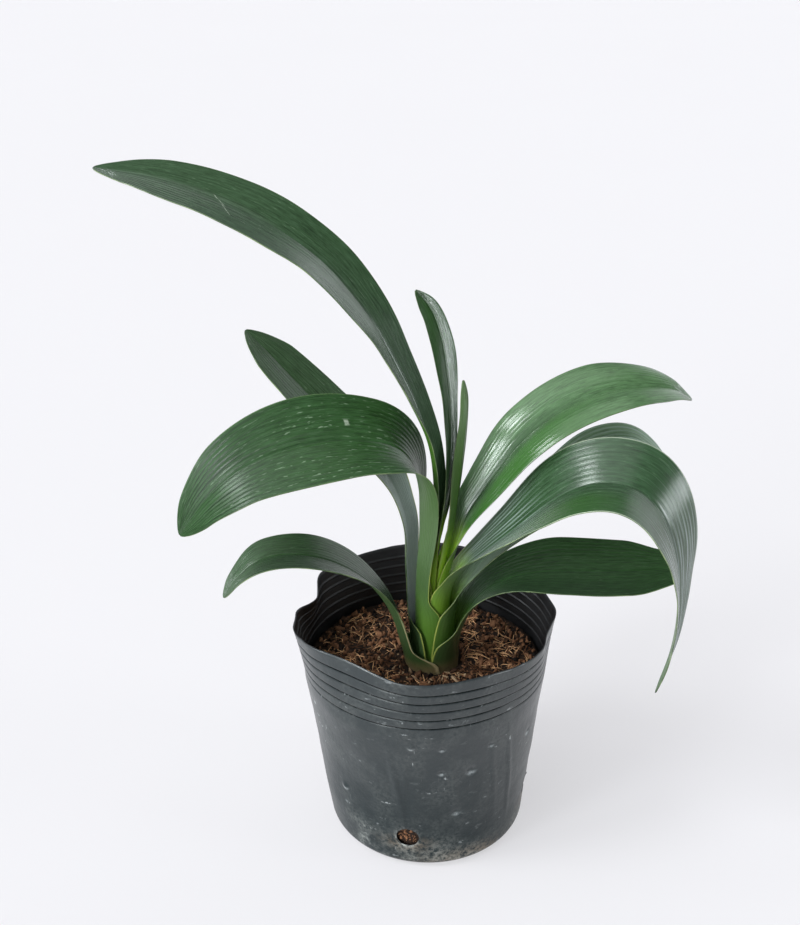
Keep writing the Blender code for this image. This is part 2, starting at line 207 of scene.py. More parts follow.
# %% [markdown]
# The pot's film
#
# The real pot is pressed from thin black film, filled, and pushed out of round by its soil. Its
# outside has a satin bloom, pale scuffs, and dust and dried mud that cling low down, and its
# inside is nearly black. Where the film is dusty or muddy follows from its shape, and so do two
# marks of painted light: painted shade that darkens the bottom of each groove, and a painted
# highlight on the lower lip of each blister. The mesh carries those shares, and grains only break
# them up. Scuffs and upright scratches are stretched grains, which show most in cloudy patches
# and near the foot.

# %% Finish of the film outside
# dusty and muddy are real dirt; groove_shade is painted shade in the grooves, and lip_highlight is a painted
# highlight on the blisters' lower lips
FILM_SHARES = ("dusty", "muddy", "groove_shade", "lip_highlight")
FILM_RELIEF = 0.0006


def scuffed_share(tree, where, height, cloud, fine):
    """The share of pale scuffs and upright scratches."""
    level = ease(tree, grain(tree, stretch(tree, where, (110.0, 110.0, 260.0)), 1.0, 2.0), 0.645, 0.71)
    upright = ease(tree, grain(tree, stretch(tree, where, (520.0, 520.0, 90.0)), 1.0, 1.0), 0.73, 0.78)
    cloudy = ease(tree, cloud, 0.46, 0.62, 0.08, 1.0)
    near_foot = ease(tree, height, 0.010, 0.040, 0.4, 0.0)
    either = calc(tree, "MAXIMUM", level, upright)
    return times(tree, either, ease(tree, fine, 0.44, 0.58), calc(tree, "MAXIMUM", cloudy, near_foot))


def make_film_outside():
    made, tree, shader = new_finish("film_outside", IOR=1.5, Coat_Roughness=0.17)
    where = object_place(tree)
    height = split(tree, where)[2]
    cloud = grain(tree, where, 45.0, 5.0, 0.6)
    fine = grain(tree, where, 420.0, 4.0, 0.65)
    streak = grain(tree, stretch(tree, where, (260.0, 260.0, 16.0)), 1.0, 3.0)
    dusty, muddy, groove_shade, lip_highlight = [mesh_value(tree, name) for name in FILM_SHARES]
    broken = times(tree, ease(tree, cloud, 0.38, 0.66), ease(tree, fine, 0.30, 0.66))
    dust = calc(tree, "MINIMUM", times(tree, broken, plus(tree, dusty, 0.10)), 1.0)
    # painted highlight: the lower lip of each blister is lit with the pale scuff colour
    lip_glint = times(tree, lip_highlight, ease(tree, fine, 0.30, 0.55, 0.2, 1.0))
    scuff_and_glint = calc(tree, "MAXIMUM", scuffed_share(tree, where, height, cloud, fine), lip_glint)
    mud = times(tree, muddy, ease(tree, fine, 0.35, 0.60))
    film = blend_colour(tree, streak, (0.004, 0.010, 0.011), (0.011, 0.019, 0.021))
    # painted shade: the bottom of each groove is darkened to near black
    film = blend_colour(tree, times(tree, groove_shade, 0.9), film, (0.002, 0.003, 0.003))
    film = blend_colour(tree, mud, film, (0.10, 0.072, 0.045))
    film = blend_colour(tree, dust, film, (0.33, 0.345, 0.32))
    # real scuffs and the painted lip highlight both lighten the film here
    film = blend_colour(tree, times(tree, scuff_and_glint, 0.8), film, (0.36, 0.39, 0.39))
    sheen = times(tree, ease(tree, height, 0.015, 0.105, 0.20, 0.5), calc(tree, "SUBTRACT", 1.0, groove_shade))
    rough = plus(tree, ease(tree, cloud, 0.3, 0.7, 0.36, 0.47), times(tree, dust, 0.4))
    feed(tree, shader, Base_Color=film, Specular_IOR_Level=sheen, Roughness=rough)
    feed(tree, shader, Coat_Weight=times(tree, sheen, 0.7))
    relief = plus(tree, times(tree, cloud, 1.6), times(tree, fine, 0.16))
    relief = plus(tree, relief, times(tree, streak, 0.25))
    set_bump(tree, shader, relief, FILM_RELIEF, 0.8)
    return made


def make_film_inside():
    made, tree, shader = new_finish("film_inside", IOR=1.5)
    where = object_place(tree)
    cloud = grain(tree, where, 60.0, 5.0, 0.6)
    fine = grain(tree, where, 500.0, 3.0)
    film = blend_colour(tree, cloud, (0.004, 0.004, 0.005), (0.011, 0.011, 0.012))
    film = blend_colour(tree, ease(tree, fine, 0.62, 0.74, 0.0, 0.3), film, (0.045, 0.035, 0.028))
    feed(tree, shader, Base_Color=film, Roughness=ease(tree, cloud, 0.3, 0.7, 0.42, 0.58))
    set_bump(tree, shader, cloud, FILM_RELIEF, 0.7)
    return made


film_outside = make_film_outside()
film_inside = make_film_inside()
print("the film has an outside and an inside finish")

# %% [markdown]
# The pot's shape
#
# A turned profile gives the film's middle surface: a flat floor, a rounded foot, and a straight
# wall with five pressed grooves under the rim. The same film shows the grooves as ridges inside,
# so one surface with a Solidify modifier is truer than two turned walls. Its points are then
# moved out of round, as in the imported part, with finer waves and small dents on top.

# %% How the film is out of round
# Slow waves round the rim: (lobes in one turn, phase, share)
BULGES = ((3, 0.6, 0.6), (7, 0.0, 0.25))
LIFTS = ((2, -math.pi / 2, 1.0), (5, 1.0, 0.5))
RIM_BULGE = 0.0008
RIM_WAVE = 0.0022
BUCKLE_FOOT = 0.113

# Where the rim's film is buckled: (direction, half of its spread, inward, down)
BUCKLES = (
    (163, 17, 0.0090, 0.0034),
    (193, 12, -0.0022, 0.0),
    (-14, 13, 0.0026, 0.0012),
    (3, 10, -0.0016, 0.0),
    (-52, 12, 0.0012, 0.0010),
    (-125, 36, 0.0040, -0.0040),
)


def wall_radius(height):
    """Radius of the film's middle at a height, before it is moved out of round."""
    rise = (height - BASE_ROUNDING) / (POT_HEIGHT - BASE_ROUNDING)
    return BASE_RADIUS + (RIM_RADIUS - BASE_RADIUS) * rise


def waves(lobes, angle):
    return sum(share * math.sin(count * angle + phase) for count, phase, share in lobes)


def turn_from(point, middle):
    """Degrees round the pot from a direction to a point, from -180 to 180."""
    turn = math.degrees(math.atan2(point.y, point.x))
    return (turn - middle + 180) % 360 - 180


def buckled(point):
    """How far the rim's buckles move the film inward and down."""
    rise = max(0.0, point.z - BUCKLE_FOOT) / (POT_HEIGHT - BUCKLE_FOOT)
    inward = 0.0
    down = 0.0
    for middle, spread, push, drop in BUCKLES:
        away = turn_from(point, middle)
        if abs(away) < spread:
            share = rise**1.5 * math.cos(math.pi / 2 * away / spread) ** 2
            inward += push * share
            down += drop * share
    return inward, down


def out_of_round(point):
    """The place of a point of the round pot once the pot is leaning, flattened and buckled."""
    x, y, z = point
    rise = max(0.0, z / POT_HEIGHT)
    angle = math.atan2(y, x)
    inward, down = buckled(point)
    inward -= rise**3 * RIM_BULGE * waves(BULGES, angle)
    stretch_out = 1.0 - inward / RIM_RADIUS
    return Vector((
        x * stretch_out + RIM_LEAN.x * rise,
        y * stretch_out * (1.0 - RIM_FLATTENING * rise) + RIM_LEAN.y * rise,
        z + rise**6 * RIM_WAVE * waves(LIFTS, angle) - down,
    ))


print(f"{len(BUCKLES)} buckles bend the rim")

# %% Turn the film's profile
FILM_SIDES = 300
GROOVE_HALF = 0.0009
GROOVE_DEPTH = 0.0006
WALL_RINGS = 78
SAME_PLACE = 1e-6


def groove_depth(height):
    """How deep the film is pressed in at a height."""
    below_rim = POT_HEIGHT - height
    near = min(abs(below_rim - groove) for groove in GROOVES)
    return GROOVE_DEPTH * max(0.0, 1.0 - (near / GROOVE_HALF) ** 2)


def film_profile():
    """(radius, height) pairs from the floor's middle out and up to the rim."""
    floor = FILM / 2
    middle = BASE_RADIUS - BASE_ROUNDING
    points = [(middle * share, floor) for share in (0.0, 0.3, 0.6, 0.85)]
    for step in range(9):
        angle = -math.pi / 2 + step * math.pi / 16
        reach = middle + BASE_ROUNDING * math.cos(angle)
        points.append((reach, floor + BASE_ROUNDING * (1 + math.sin(angle))))
    heights = set(np.linspace(BASE_ROUNDING + 0.002, POT_HEIGHT, WALL_RINGS).round(5))
    for groove in GROOVES:
        heights = {h for h in heights if abs(POT_HEIGHT - groove - h) > 2 * GROOVE_HALF}
        heights |= {POT_HEIGHT - groove + GROOVE_HALF * step / 2 for step in range(-3, 4)}
    points += [(wall_radius(height) - groove_depth(height), height) for height in sorted(heights)]
    return points


def turn_profile(profile, sides):
    """The surface that (radius, height) pairs make round the upright axis, with its faces out."""
    shape = bmesh.new()
    line = [shape.verts.new((radius, 0.0, height)) for radius, height in profile]
    edges = [shape.edges.new(pair) for pair in zip(line, line[1:])]
    bmesh.ops.spin(
        shape, geom=line + edges, cent=(0, 0, 0), axis=(0, 0, 1), angle=math.tau,
        steps=sides, use_merge=True,
    )
    bmesh.ops.remove_doubles(shape, verts=shape.verts, dist=SAME_PLACE)
    bmesh.ops.recalc_face_normals(shape, faces=shape.faces)
    outward = sum(face.normal.dot(face.calc_center_median()) for face in shape.faces)
    if outward < 0:
        bmesh.ops.reverse_faces(shape, faces=shape.faces)
    return shape


profile = film_profile()
film = turn_profile(profile, FILM_SIDES)
print(f"the film's profile has {len(profile)} points")

# %% [markdown]
# Drain holes
#
# Four holes low in the wall let water out. The mesh is one thin surface here, so a hole is made
# by taking out the faces inside its circle and moving the cut edge onto the circle. That leaves
# a clean rim without a Boolean.

# %% Cut the drain holes
def along_wall(point, middle):
    """Distance round the wall from a direction to a point."""
    return math.radians(turn_from(point, middle)) * point.xy.length


def from_drain(point):
    """Distances (along the wall, up) from the nearest drain hole's middle to a point."""
    away = min((along_wall(point, drain) for drain in DRAIN_TURNS), key=abs)
    return Vector((away, point.z - DRAIN_HEIGHT))


inside = [face for face in film.faces if from_drain(face.calc_center_median()).length < DRAIN_RADIUS]
bmesh.ops.delete(film, geom=inside, context="FACES")
for vert in film.verts:
    if vert.is_boundary and vert.co.z < POT_HEIGHT / 2:
        away = from_drain(vert.co)
        wanted = DRAIN_RADIUS * (1 + 0.05 * noise.noise(vert.co * 300))
        slide = away * (wanted / away.length - 1)
        around = Vector((-vert.co.y, vert.co.x, 0)).normalized()
        vert.co += around * slide.x + Vector((0, 0, slide.y))
print(f"{len(inside)} faces make way for {len(DRAIN_TURNS)} drain holes")

# %% [markdown]
# Dents, blisters and folds
#
# Soft film is never smooth. Slow noise bows it by half a millimetre, a few blisters and pits
# stand where grit pushed it, and a few long folds run down it. Each is a soft bump that is added
# to the distance from the axis, so the wall stays one clean surface. The blisters are smaller
# than the mesh is fine, so its edges are divided near them first. The same places say where the
# film gets a painted highlight (the lower lip of a blister), where it is dusty (round the holes
# and low at the left) and muddy (under the holes), and where it gets painted shade (in the
# grooves).

# %% Move the film out of round and dent it
# (direction, height, size, how far it stands out)
BLISTERS = (
    (-82, 0.099, 0.0017, -0.0011), (-82, 0.080, 0.0019, -0.0013), (-67, 0.078, 0.0030, -0.0018),
    (-57, 0.094, 0.0017, -0.0012), (-74, 0.046, 0.0026, -0.0013), (-96, 0.101, 0.0018, 0.0008),
    (-137, 0.050, 0.0024, 0.0008), (-28, 0.084, 0.0028, -0.0008), (-6, 0.026, 0.0024, 0.0030),
    (40, 0.070, 0.0030, 0.0012), (95, 0.088, 0.0026, -0.0012), (140, 0.052, 0.0034, 0.0012),
    (-166, 0.083, 0.0030, -0.0010),
)
BLISTER_REACH = 2.4
# (direction, top, bottom, half width, how far it stands out)
FOLDS = (
    (-48, 0.112, 0.020, 0.0014, 0.0010), (-57, 0.100, 0.030, 0.0012, 0.0007),
    (-108, 0.104, 0.030, 0.0015, 0.0008), (-79, 0.108, 0.050, 0.0013, 0.0006),
    (62, 0.105, 0.025, 0.0016, 0.0008), (150, 0.100, 0.030, 0.0016, 0.0008),
)
FOLD_SLANT = 0.12
# Dirt that clings low on the wall: (direction, half of its spread, top, share)
DUST_PATCHES = ((-124, 30, 0.032, 1.0), (-72, 22, 0.008, 0.4), (60, 90, 0.022, 1.0))
MUD_PATCHES = ((-62, 30, 0.016, 1.4),)
HOLE_DUST = 2.2
WALL_DUST = 1.3
HOLE_DUST_REACH = 0.0010
SMEAR_WIDTH = 0.013
RAGGED_RIM = 0.004
SLOW_BOW = 0.0009
FINE_BOW = 0.00025


def from_blister(point, blister):
    """Distances (along the wall, up) from a blister's middle to a point, in shares of its size."""
    middle, height, size = blister[:3]
    return Vector((along_wall(point, middle), point.z - height)) / size


def dent(point):
    """How far the film stands out at a point from blisters, folds and slow bows."""
    free = min(1.0, max(0.0, (point.z - 0.006) / 0.02)) * min(1.0, max(0.0, (0.114 - point.z) / 0.006))
    out = SLOW_BOW * noise.noise(point * 22) + FINE_BOW * noise.noise(point * 75)
    for blister in BLISTERS:
        far = from_blister(point, blister).length_squared
        if far < 6.0:
            out += blister[3] * math.exp(-far)
    for middle, top, bottom, width, lift in FOLDS:
        across = along_wall(point, middle) + FOLD_SLANT * (point.z - top)
        if bottom < point.z < top and abs(across) < 4 * width:
            share = math.sin(math.pi * (point.z - bottom) / (top - bottom))
            out += lift * share * math.exp(-((across / width) ** 2))
    return out * free


def low_dirt(point, patches):
    """Share of dirt that clings low on the wall, thickest in each patch's direction."""
    total = 0.0
    for middle, spread, top, share in patches:
        low = max(0.0, 1.0 - point.z / top)
        total += share * low * math.exp(-((turn_from(point, middle) / spread) ** 2))
    return max(0.0, total * (0.9 + 1.5 * noise.noise(point * 45)))


def paint_lip_highlight(away):
    """Share of the painted highlight on the lower lip of a blister."""
    return math.exp(-((away.x / 0.9) ** 2) - ((away.y + 0.75 - 0.3 * away.x**2) / 0.35) ** 2)


def film_shares(point):
    """How dusty and muddy a point is, and its shares of painted groove shade and lip highlight."""
    drain = from_drain(point)
    rim_dust = math.exp(-abs(drain.length - DRAIN_RADIUS) / HOLE_DUST_REACH)
    smear = math.exp(-((drain.x / SMEAR_WIDTH) ** 2)) * max(0.0, 1.0 - abs(drain.y + 0.006) / 0.008)
    return (
        HOLE_DUST * rim_dust + WALL_DUST * low_dirt(point, DUST_PATCHES),
        min(1.0, 1.2 * smear + low_dirt(point, MUD_PATCHES)),
        groove_depth(point.z) / GROOVE_DEPTH,
        max(paint_lip_highlight(from_blister(point, blister)) for blister in BLISTERS),
    )


def beside_blister(edge, blister):
    return all(from_blister(vert.co, blister).length < BLISTER_REACH for vert in edge.verts)


small = [edge for edge in film.edges if any(beside_blister(edge, blister) for blister in BLISTERS)]
bmesh.ops.subdivide_edges(film, edges=small, cuts=2, use_grid_fill=True)
layers = [film.verts.layers.float.new(name) for name in FILM_SHARES]
for vert in film.verts:
    for layer, share in zip(layers, film_shares(vert.co)):
        vert[layer] = share
    if vert.co.z > FILM:
        stretch_out = 1 + dent(vert.co) / vert.co.xy.length
        vert.co.x *= stretch_out
        vert.co.y *= stretch_out
    ragged = max(0.0, vert.co.z - POT_HEIGHT + RAGGED_RIM) / RAGGED_RIM
    vert.co = out_of_round(vert.co)
    vert.co.z += 0.0005 * ragged * noise.noise(vert.co * 120)
pot = make_piece("pot_film", film, (film_outside, film_inside), ("pot",))
wall = pot.modifiers.new("film", "SOLIDIFY")
wall.thickness = FILM
wall.offset = 0.0
wall.material_offset = 1
wall.material_offset_rim = 1

# %% [markdown]
# The soil
#
# Potting mix is dark, damp peat with bark crumbs, reddish coir and a few pale chips. The bed is
# one closed body that fills the pot, with a rough top. Crumbs, chips and fibres are scattered on
# it by a seeded rule, torn husks in front of the sheaths, and more crumbs behind the drain holes.
# They are small and many, so each has only a few faces.

# %% Finish of the soil and its grains
def make_soil_finish(name, dark, light, tinted):
    """Damp potting mix. A tinted one also reads how light each grain is from its attribute."""
    made, tree, shader = new_finish(name, Specular_IOR_Level=0.25)
    where = object_place(tree)
    fine = grain(tree, where, 900.0, 4.0, 0.7)
    wide = grain(tree, where, 130.0, 3.0)
    share = times(tree, plus(tree, fine, wide), 0.5)
    if tinted:
        share = plus(tree, times(tree, share, 0.3), times(tree, mesh_value(tree, "tint"), 0.85))
    colour = blend_colour(tree, ease(tree, share, 0.25, 0.85), dark, light)
    feed(tree, shader, Base_Color=colour, Roughness=ease(tree, fine, 0.2, 0.8, 0.75, 1.0))
    set_bump(tree, shader, fine, 0.0004, 0.9)
    return made


bed_finish = make_soil_finish("soil_bed", (0.006, 0.004, 0.003), (0.065, 0.034, 0.019), False)
crumb_finish = make_soil_finish("crumb", (0.008, 0.005, 0.004), (0.240, 0.114, 0.057), True)
coir_finish = make_soil_finish("coir", (0.120, 0.048, 0.020), (0.95, 0.55, 0.28), True)
chip_finish = make_soil_finish("chip", (0.16, 0.085, 0.040), (0.62, 0.42, 0.25), True)
print("four finishes for the potting mix")

# %% Model the soil bed
SOIL_RINGS = 30
SOIL_SIDES = 120
STEM_HOLE = 0.0178
SOIL_EDGE = wall_radius(SOIL_LEVEL) - FILM - 0.0012
HOLE_FLOOR = 0.098


def soil_top(x, y):
    """Height of the soil's surface at a place."""
    place = Vector((x, y, 0.0))
    lumps = 0.0016 * noise.noise(place * 70) + 0.0010 * noise.noise(place * 190)
    grit = 0.0005 * noise.noise(place * 520)
    heap = 0.0016 * math.exp(-(((place - STEM_PLACE).length - STEM_HOLE) / 0.010) ** 2)
    return SOIL_LEVEL + lumps + grit + heap


def soil_profile():
    """(radius, height) pairs from under the pot's floor, up the wall and into the stem's hole."""
    middle = BASE_RADIUS - BASE_ROUNDING
    points = [(0.0, 0.0014), (middle, 0.0014)]
    for step in range(1, 5):
        angle = -math.pi / 2 + step * math.pi / 8
        reach = middle + (BASE_ROUNDING - 0.001) * math.cos(angle)
        points.append((reach, 0.0074 + 0.006 * math.sin(angle)))
    for height in np.linspace(0.02, SOIL_LEVEL - 0.002, 10):
        points.append((wall_radius(height) - FILM - 0.0014, height))
    for share in np.linspace(1.0, 0.0, SOIL_RINGS):
        points.append((STEM_HOLE + (SOIL_EDGE - STEM_HOLE) * share, SOIL_LEVEL))
    return points + [(STEM_HOLE, HOLE_FLOOR), (0.0, HOLE_FLOOR)]


soil = turn_profile(soil_profile(), SOIL_SIDES)
for vert in soil.verts:
    reach = vert.co.xy.length
    top = vert.co.z > SOIL_LEVEL - 1e-5
    near = min(1.0, max(0.0, (SOIL_EDGE - reach) / (SOIL_EDGE - STEM_HOLE)))
    bent = out_of_round(vert.co)
    if vert.co.z > 0.09 and (top or reach < 0.03):
        bent = bent.lerp(vert.co + STEM_PLACE, near)
    if top:
        bent.z = soil_top(bent.x, bent.y)
    vert.co = bent
make_piece("soil_bed", soil, (bed_finish,), ("soil",))

# %% Scatter crumbs and chips
scatter = np.random.default_rng(12)
BATCH = 100


def spot_on_soil(inner=STEM_HOLE + 0.001, outer=SOIL_EDGE - 0.002):
    """A random place on the soil, evenly spread, clear of the stem and the film."""
    while True:
        reach = math.sqrt(scatter.uniform(0.0, outer**2))
        turn = scatter.uniform(0, math.tau)
        place = out_of_round(Vector((reach * math.cos(turn), reach * math.sin(turn), SOIL_LEVEL)))
        if (place - STEM_PLACE).xy.length > inner:
            place.z = soil_top(place.x, place.y)
            return place


def any_turn():
    """A random rotation."""
    turns = [Matrix.Rotation(scatter.uniform(0, math.tau), 4, axis) for axis in "XYZ"]
    return turns[0] @ turns[1] @ turns[2]


def spot_near_stem():
    """A random place on the soil in front of the sheaths, where torn husks gather."""
    turn = math.radians(scatter.uniform(-160, -30))
    reach = STEM_HOLE + scatter.uniform(0.002, 0.010)
    place = STEM_PLACE + Vector((reach * math.cos(turn), reach * math.sin(turn), 0.0))
    place.z = soil_top(place.x, place.y)
    return place


def spot_in_drain():
    """A random place on the side of the soil, behind one of the drain holes."""
    turn = math.radians(DRAIN_TURNS[scatter.integers(4)])
    height = DRAIN_HEIGHT + scatter.uniform(-1, 1) * DRAIN_RADIUS * 0.8
    reach = wall_radius(height) - FILM - 0.0016
    turn += scatter.uniform(-1, 1) * DRAIN_RADIUS * 0.8 / reach
    return out_of_round(Vector((reach * math.cos(turn), reach * math.sin(turn), height)))


def scatter_grains(name, count, sizes, shares, finish, bright, sink, spot=spot_on_soil):
    """Many small lumps in one piece: rounded grains that are scaled, turned and roughened."""
    shape = bmesh.new()
    batch_mesh = bpy.data.meshes.new("batch")
    for start in range(0, count, BATCH):
        batch = bmesh.new()
        tint = batch.verts.layers.float.new("tint")
        for _ in range(min(BATCH, count - start)):
            size = sizes[0] + (sizes[1] - sizes[0]) * scatter.uniform() ** 2
            place = spot()
            place.z += size * sink
            spans = [size * share * scatter.uniform(0.7, 1.3) for share in shares]
            stretched = Matrix.Diagonal((*spans, 1.0))
            matrix = Matrix.Translation(place) @ any_turn() @ stretched
            made = bmesh.ops.create_icosphere(batch, subdivisions=1, radius=1.0, matrix=matrix)
            lightness = scatter.uniform(*bright)
            for vert in made["verts"]:
                vert[tint] = lightness
                vert.co += Vector(scatter.normal(0.0, size * 0.12, 3))
        batch.to_mesh(batch_mesh)
        batch.free()
        shape.from_mesh(batch_mesh)
    bpy.data.meshes.remove(batch_mesh)
    return make_piece(name, shape, (finish,))


scatter_grains("soil_crumbs", 2600, (0.0007, 0.0024), (1.0, 0.8, 0.6), crumb_finish, (0.0, 1.0), 0.15)
scatter_grains("bark_chips", 420, (0.0016, 0.0045), (1.0, 0.5, 0.22), crumb_finish, (0.3, 1.2), 0.15)
scatter_grains("pale_chips", 60, (0.0010, 0.0032), (1.0, 0.45, 0.25), chip_finish, (0.2, 1.0), 0.3)
scatter_grains(
    "torn_husks", 22, (0.0016, 0.0040), (1.0, 0.35, 0.2), chip_finish, (0.8, 1.5), 0.5, spot_near_stem
)
scatter_grains(
    "drain_crumbs", 200, (0.0006, 0.0018), (1.0, 0.6, 0.6), crumb_finish, (0.3, 1.2), 0.0, spot_in_drain
)

# %% [markdown]
# Coir fibres
#
# Coir lies on the mix as fine bent threads. A curve with a round bevel is the natural way to
# make thread: each fibre is one spline of a few points that wander in the plane of the soil and
# rise a little, and its ends taper. The curve is turned into a mesh so that each fibre can
# carry its own tint.

# %% Lay the fibres
FIBRE_POINTS = 7
FIBRE_RADIUS = 0.00021


def fibre_points(length):
    """Points along one fibre, which starts on the soil and wanders over it."""
    place = spot_on_soil(STEM_HOLE + 0.002, SOIL_EDGE - 0.006)
    heading = scatter.uniform(0, math.tau)
    bend = scatter.normal(0.0, 0.04)
    lift = abs(scatter.normal(0.0, 0.0012))
    points = []
    for step in range(FIBRE_POINTS):
        away = (place.xy - STEM_PLACE.xy).length
        if away <= STEM_HOLE + 0.001 or place.xy.length > SOIL_EDGE - 0.003:
            break
        arch = lift * math.sin(math.pi * step / (FIBRE_POINTS - 1))
        points.append(Vector((place.x, place.y, soil_top(place.x, place.y) + 0.0004 + arch)))
        heading += bend + scatter.normal(0.0, 0.04)
        place = place + Vector((math.cos(heading), math.sin(heading), 0)) * length / FIBRE_POINTS
    return points


def lay_fibres(count):
    """One mesh of many beveled splines, with a tint for each fibre."""
    curve = bpy.data.curves.new("fibres", "CURVE")
    curve.dimensions = "3D"
    curve.bevel_depth = FIBRE_RADIUS
    curve.bevel_resolution = 0
    curve.use_fill_caps = True
    curve.resolution_u = 2
    for _ in range(count):
        points = fibre_points(scatter.uniform(0.004, 0.020))
        if len(points) < 4:
            continue
        thickness = scatter.uniform(0.5, 1.6)
        spline = curve.splines.new("NURBS")
        spline.points.add(len(points) - 1)
        spline.use_endpoint_u = True
        spline.order_u = 3
        for number, point in enumerate(points):
            taper = 0.35 + 0.65 * math.sin(math.pi * (number + 0.5) / len(points))
            spline.points[number].co = (*point, 1.0)
            spline.points[number].radius = thickness * taper
    holder = bpy.data.objects.new("fibres", curve)
    bpy.context.scene.collection.objects.link(holder)
    bpy.context.view_layer.update()
    settled = holder.evaluated_get(bpy.context.evaluated_depsgraph_get())
    mesh = bpy.data.meshes.new_from_object(settled)
    bpy.data.objects.remove(holder)
    shape = bmesh.new()
    shape.from_mesh(mesh)
    tint = shape.verts.layers.float.new("tint")
    for vert in shape.verts:
        vert[tint] = 0.50 + 1.5 * noise.noise(vert.co * 90)
    return make_piece("coir_fibres", shape, (coir_finish,))


lay_fibres(820)

# %% [markdown]
# Leaf finishes
#
# A clivia leaf has a waxy, deep green upper face with fine parallel veins, a paler and duller
# back, and a thin pale margin. In the heart of the plant the young base is yellow green. The
# patterns follow the leaf, so they read its own UV map: u runs from margin to margin, and v is
# the distance from the leaf's foot in metres. The green is built up in layers: grain and veins,
# the tints that only some leaves have, among them painted highlights and painted shade, the
# fresh base and the earthy foot, the margins, and last the marks and specks. The wax is the
# shader's coat, whose share and roughness follow the streaks.

# %% Finish of a leaf's two faces and its margin
RIBS = 17
EDGE_TONE = (0.46, 0.52, 0.10)
FACE_FOOT = 0.022
BACK_FOOT = 0.021
MIDRIB_SHADE_PLACE = 0.52


def leaf_coordinates(tree):
    """The leaf's UV map, and its parts u and v."""
    where = add_node(tree, "UVMap", {}, uv_map="leaf").outputs[0]
    parts = split(tree, where)
    return where, parts[0], parts[1]


def from_margin(tree, u):
    """0 at either margin and 0.5 along the midrib."""
    return calc(tree, "MINIMUM", u, calc(tree, "SUBTRACT", 1.0, u))


def pale_edge(tree, green, margin, v, until, look):
    """Adds the pale edge that a sheath has near its foot."""
    wide = look.get("edge_width", 0.024)
    thin = ease(tree, margin, wide / 3, wide, 0.85, 0.0)
    edged = times(tree, thin, ease(tree, v, until - 0.02, until, 1.0, 0.0))
    return blend_colour(tree, edged, green, look.get("edge", EDGE_TONE))


def leaf_grains(tree, where, u, seed):
    """The noises of one leaf, drawn out along it, and the wave of its veins."""
    shift = (seed * 3.1, seed * 1.7, 0.0)

    def drawn_out(across, along, detail, roughness=0.5):
        return grain(tree, stretch(tree, where, (across, along, 1.0), shift), 1.0, detail, roughness)

    return {
        "fine": drawn_out(150.0, 22.0, 3.0, 0.6),
        "streak": drawn_out(46.0, 17.0, 3.0, 0.55),
        "broad": drawn_out(26.0, 18.0, 2.0),
        "patchy": drawn_out(36.0, 110.0, 4.0, 0.62),
        "dashes": drawn_out(64.0, 210.0, 1.0),
        "vein": calc(tree, "SINE", times(tree, u, math.tau * RIBS)),
        "specks": grain(tree, where, 640.0, 1.0),
    }


def grown_green(tree, grains, deep):
    """Deep green with darker and lighter grain, ashen patches and lighter veins."""
    light = tuple(min(1.0, part * 1.75 + 0.006) for part in deep)
    ashen = tuple(part * 1.9 + extra for part, extra in zip(deep, (0.016, 0.018, 0.018)))
    fine, broad, patchy = grains["fine"], grains["broad"], grains["patchy"]
    green = blend_colour(tree, ease(tree, fine, 0.30, 0.70), scaled(deep, 0.72), light)
    green = blend_colour(tree, ease(tree, broad, 0.3, 0.75, 0.0, 0.45), green, light)
    green = blend_colour(tree, ease(tree, patchy, 0.46, 0.68, 0.0, 0.60), green, ashen)
    green = blend_colour(tree, ease(tree, patchy, 0.34, 0.47, 0.45, 0.0), green, scaled(deep, 0.45))
    return blend_colour(tree, ease(tree, grains["vein"], 0.55, 1.0, 0.0, 0.30), green, light)


def flushed(tree, green, grains, u, v, look):
    """A vivid flush along one margin, from a place across the leaf and up to a distance."""
    flush, from_u, until_v = look["flush"]
    share = times(tree, ease(tree, v, until_v - 0.06, until_v, 0.9, 0.0), ease(tree, u, from_u, from_u + 0.2))
    return blend_colour(tree, share, green, flush)


def paint_sheen_and_shade(tree, green, grains, u, v, look):
    """Painted sheen and shade: vein streaks edged with a pale tone for shine, a dark one for shade."""
    striped = times(tree, ease(tree, grains["vein"], -0.4, 0.9), ease(tree, grains["streak"], 0.35, 0.60))
    for painted_tone, rise_v, fall_v in look["painted_streaks"]:
        rise = ease(tree, v, rise_v - 0.04, rise_v)
        fall = ease(tree, v, fall_v, fall_v + 0.04, 1.0, 0.0)
        green = blend_colour(tree, times(tree, striped, rise, fall), green, painted_tone)
    return green


def paint_midrib_shade(tree, green, grains, u, v, look):
    """Painted shade: a dark band that follows the midrib up to a distance."""
    midrib_shade, half_width, until_v = look["midrib_shade"]
    off_midrib = calc(tree, "ABSOLUTE", calc(tree, "SUBTRACT", u, MIDRIB_SHADE_PLACE))
    length = ease(tree, v, until_v - 0.05, until_v, 1.0, 0.0)
    width = ease(tree, off_midrib, half_width / 2, half_width, 0.8, 0.0)
    return blend_colour(tree, times(tree, length, ease(tree, grains["fine"], 0.35, 0.55), width), green, midrib_shade)


# flush is a real tint; painted_streaks and midrib_shade paint highlights and shade
OWN_TINTS_AND_PAINTED_LIGHT = {"flush": flushed, "painted_streaks": paint_sheen_and_shade, "midrib_shade": paint_midrib_shade}


def mark(tree, u, v, first, last, half_width):
    """The share of a scratch that runs across the leaf between two places, each (u, v)."""
    slope = (last[1] - first[1]) / (last[0] - first[0])
    line = plus(tree, times(tree, u, slope), first[1] - slope * first[0])
    off = calc(tree, "ABSOLUTE", calc(tree, "SUBTRACT", v, line))
    begin = ease(tree, u, first[0], first[0] + 0.03)
    end = ease(tree, u, last[0] - 0.03, last[0], 1.0, 0.0)
    return times(tree, ease(tree, off, half_width / 2, half_width, 1.0, 0.0), begin, end)


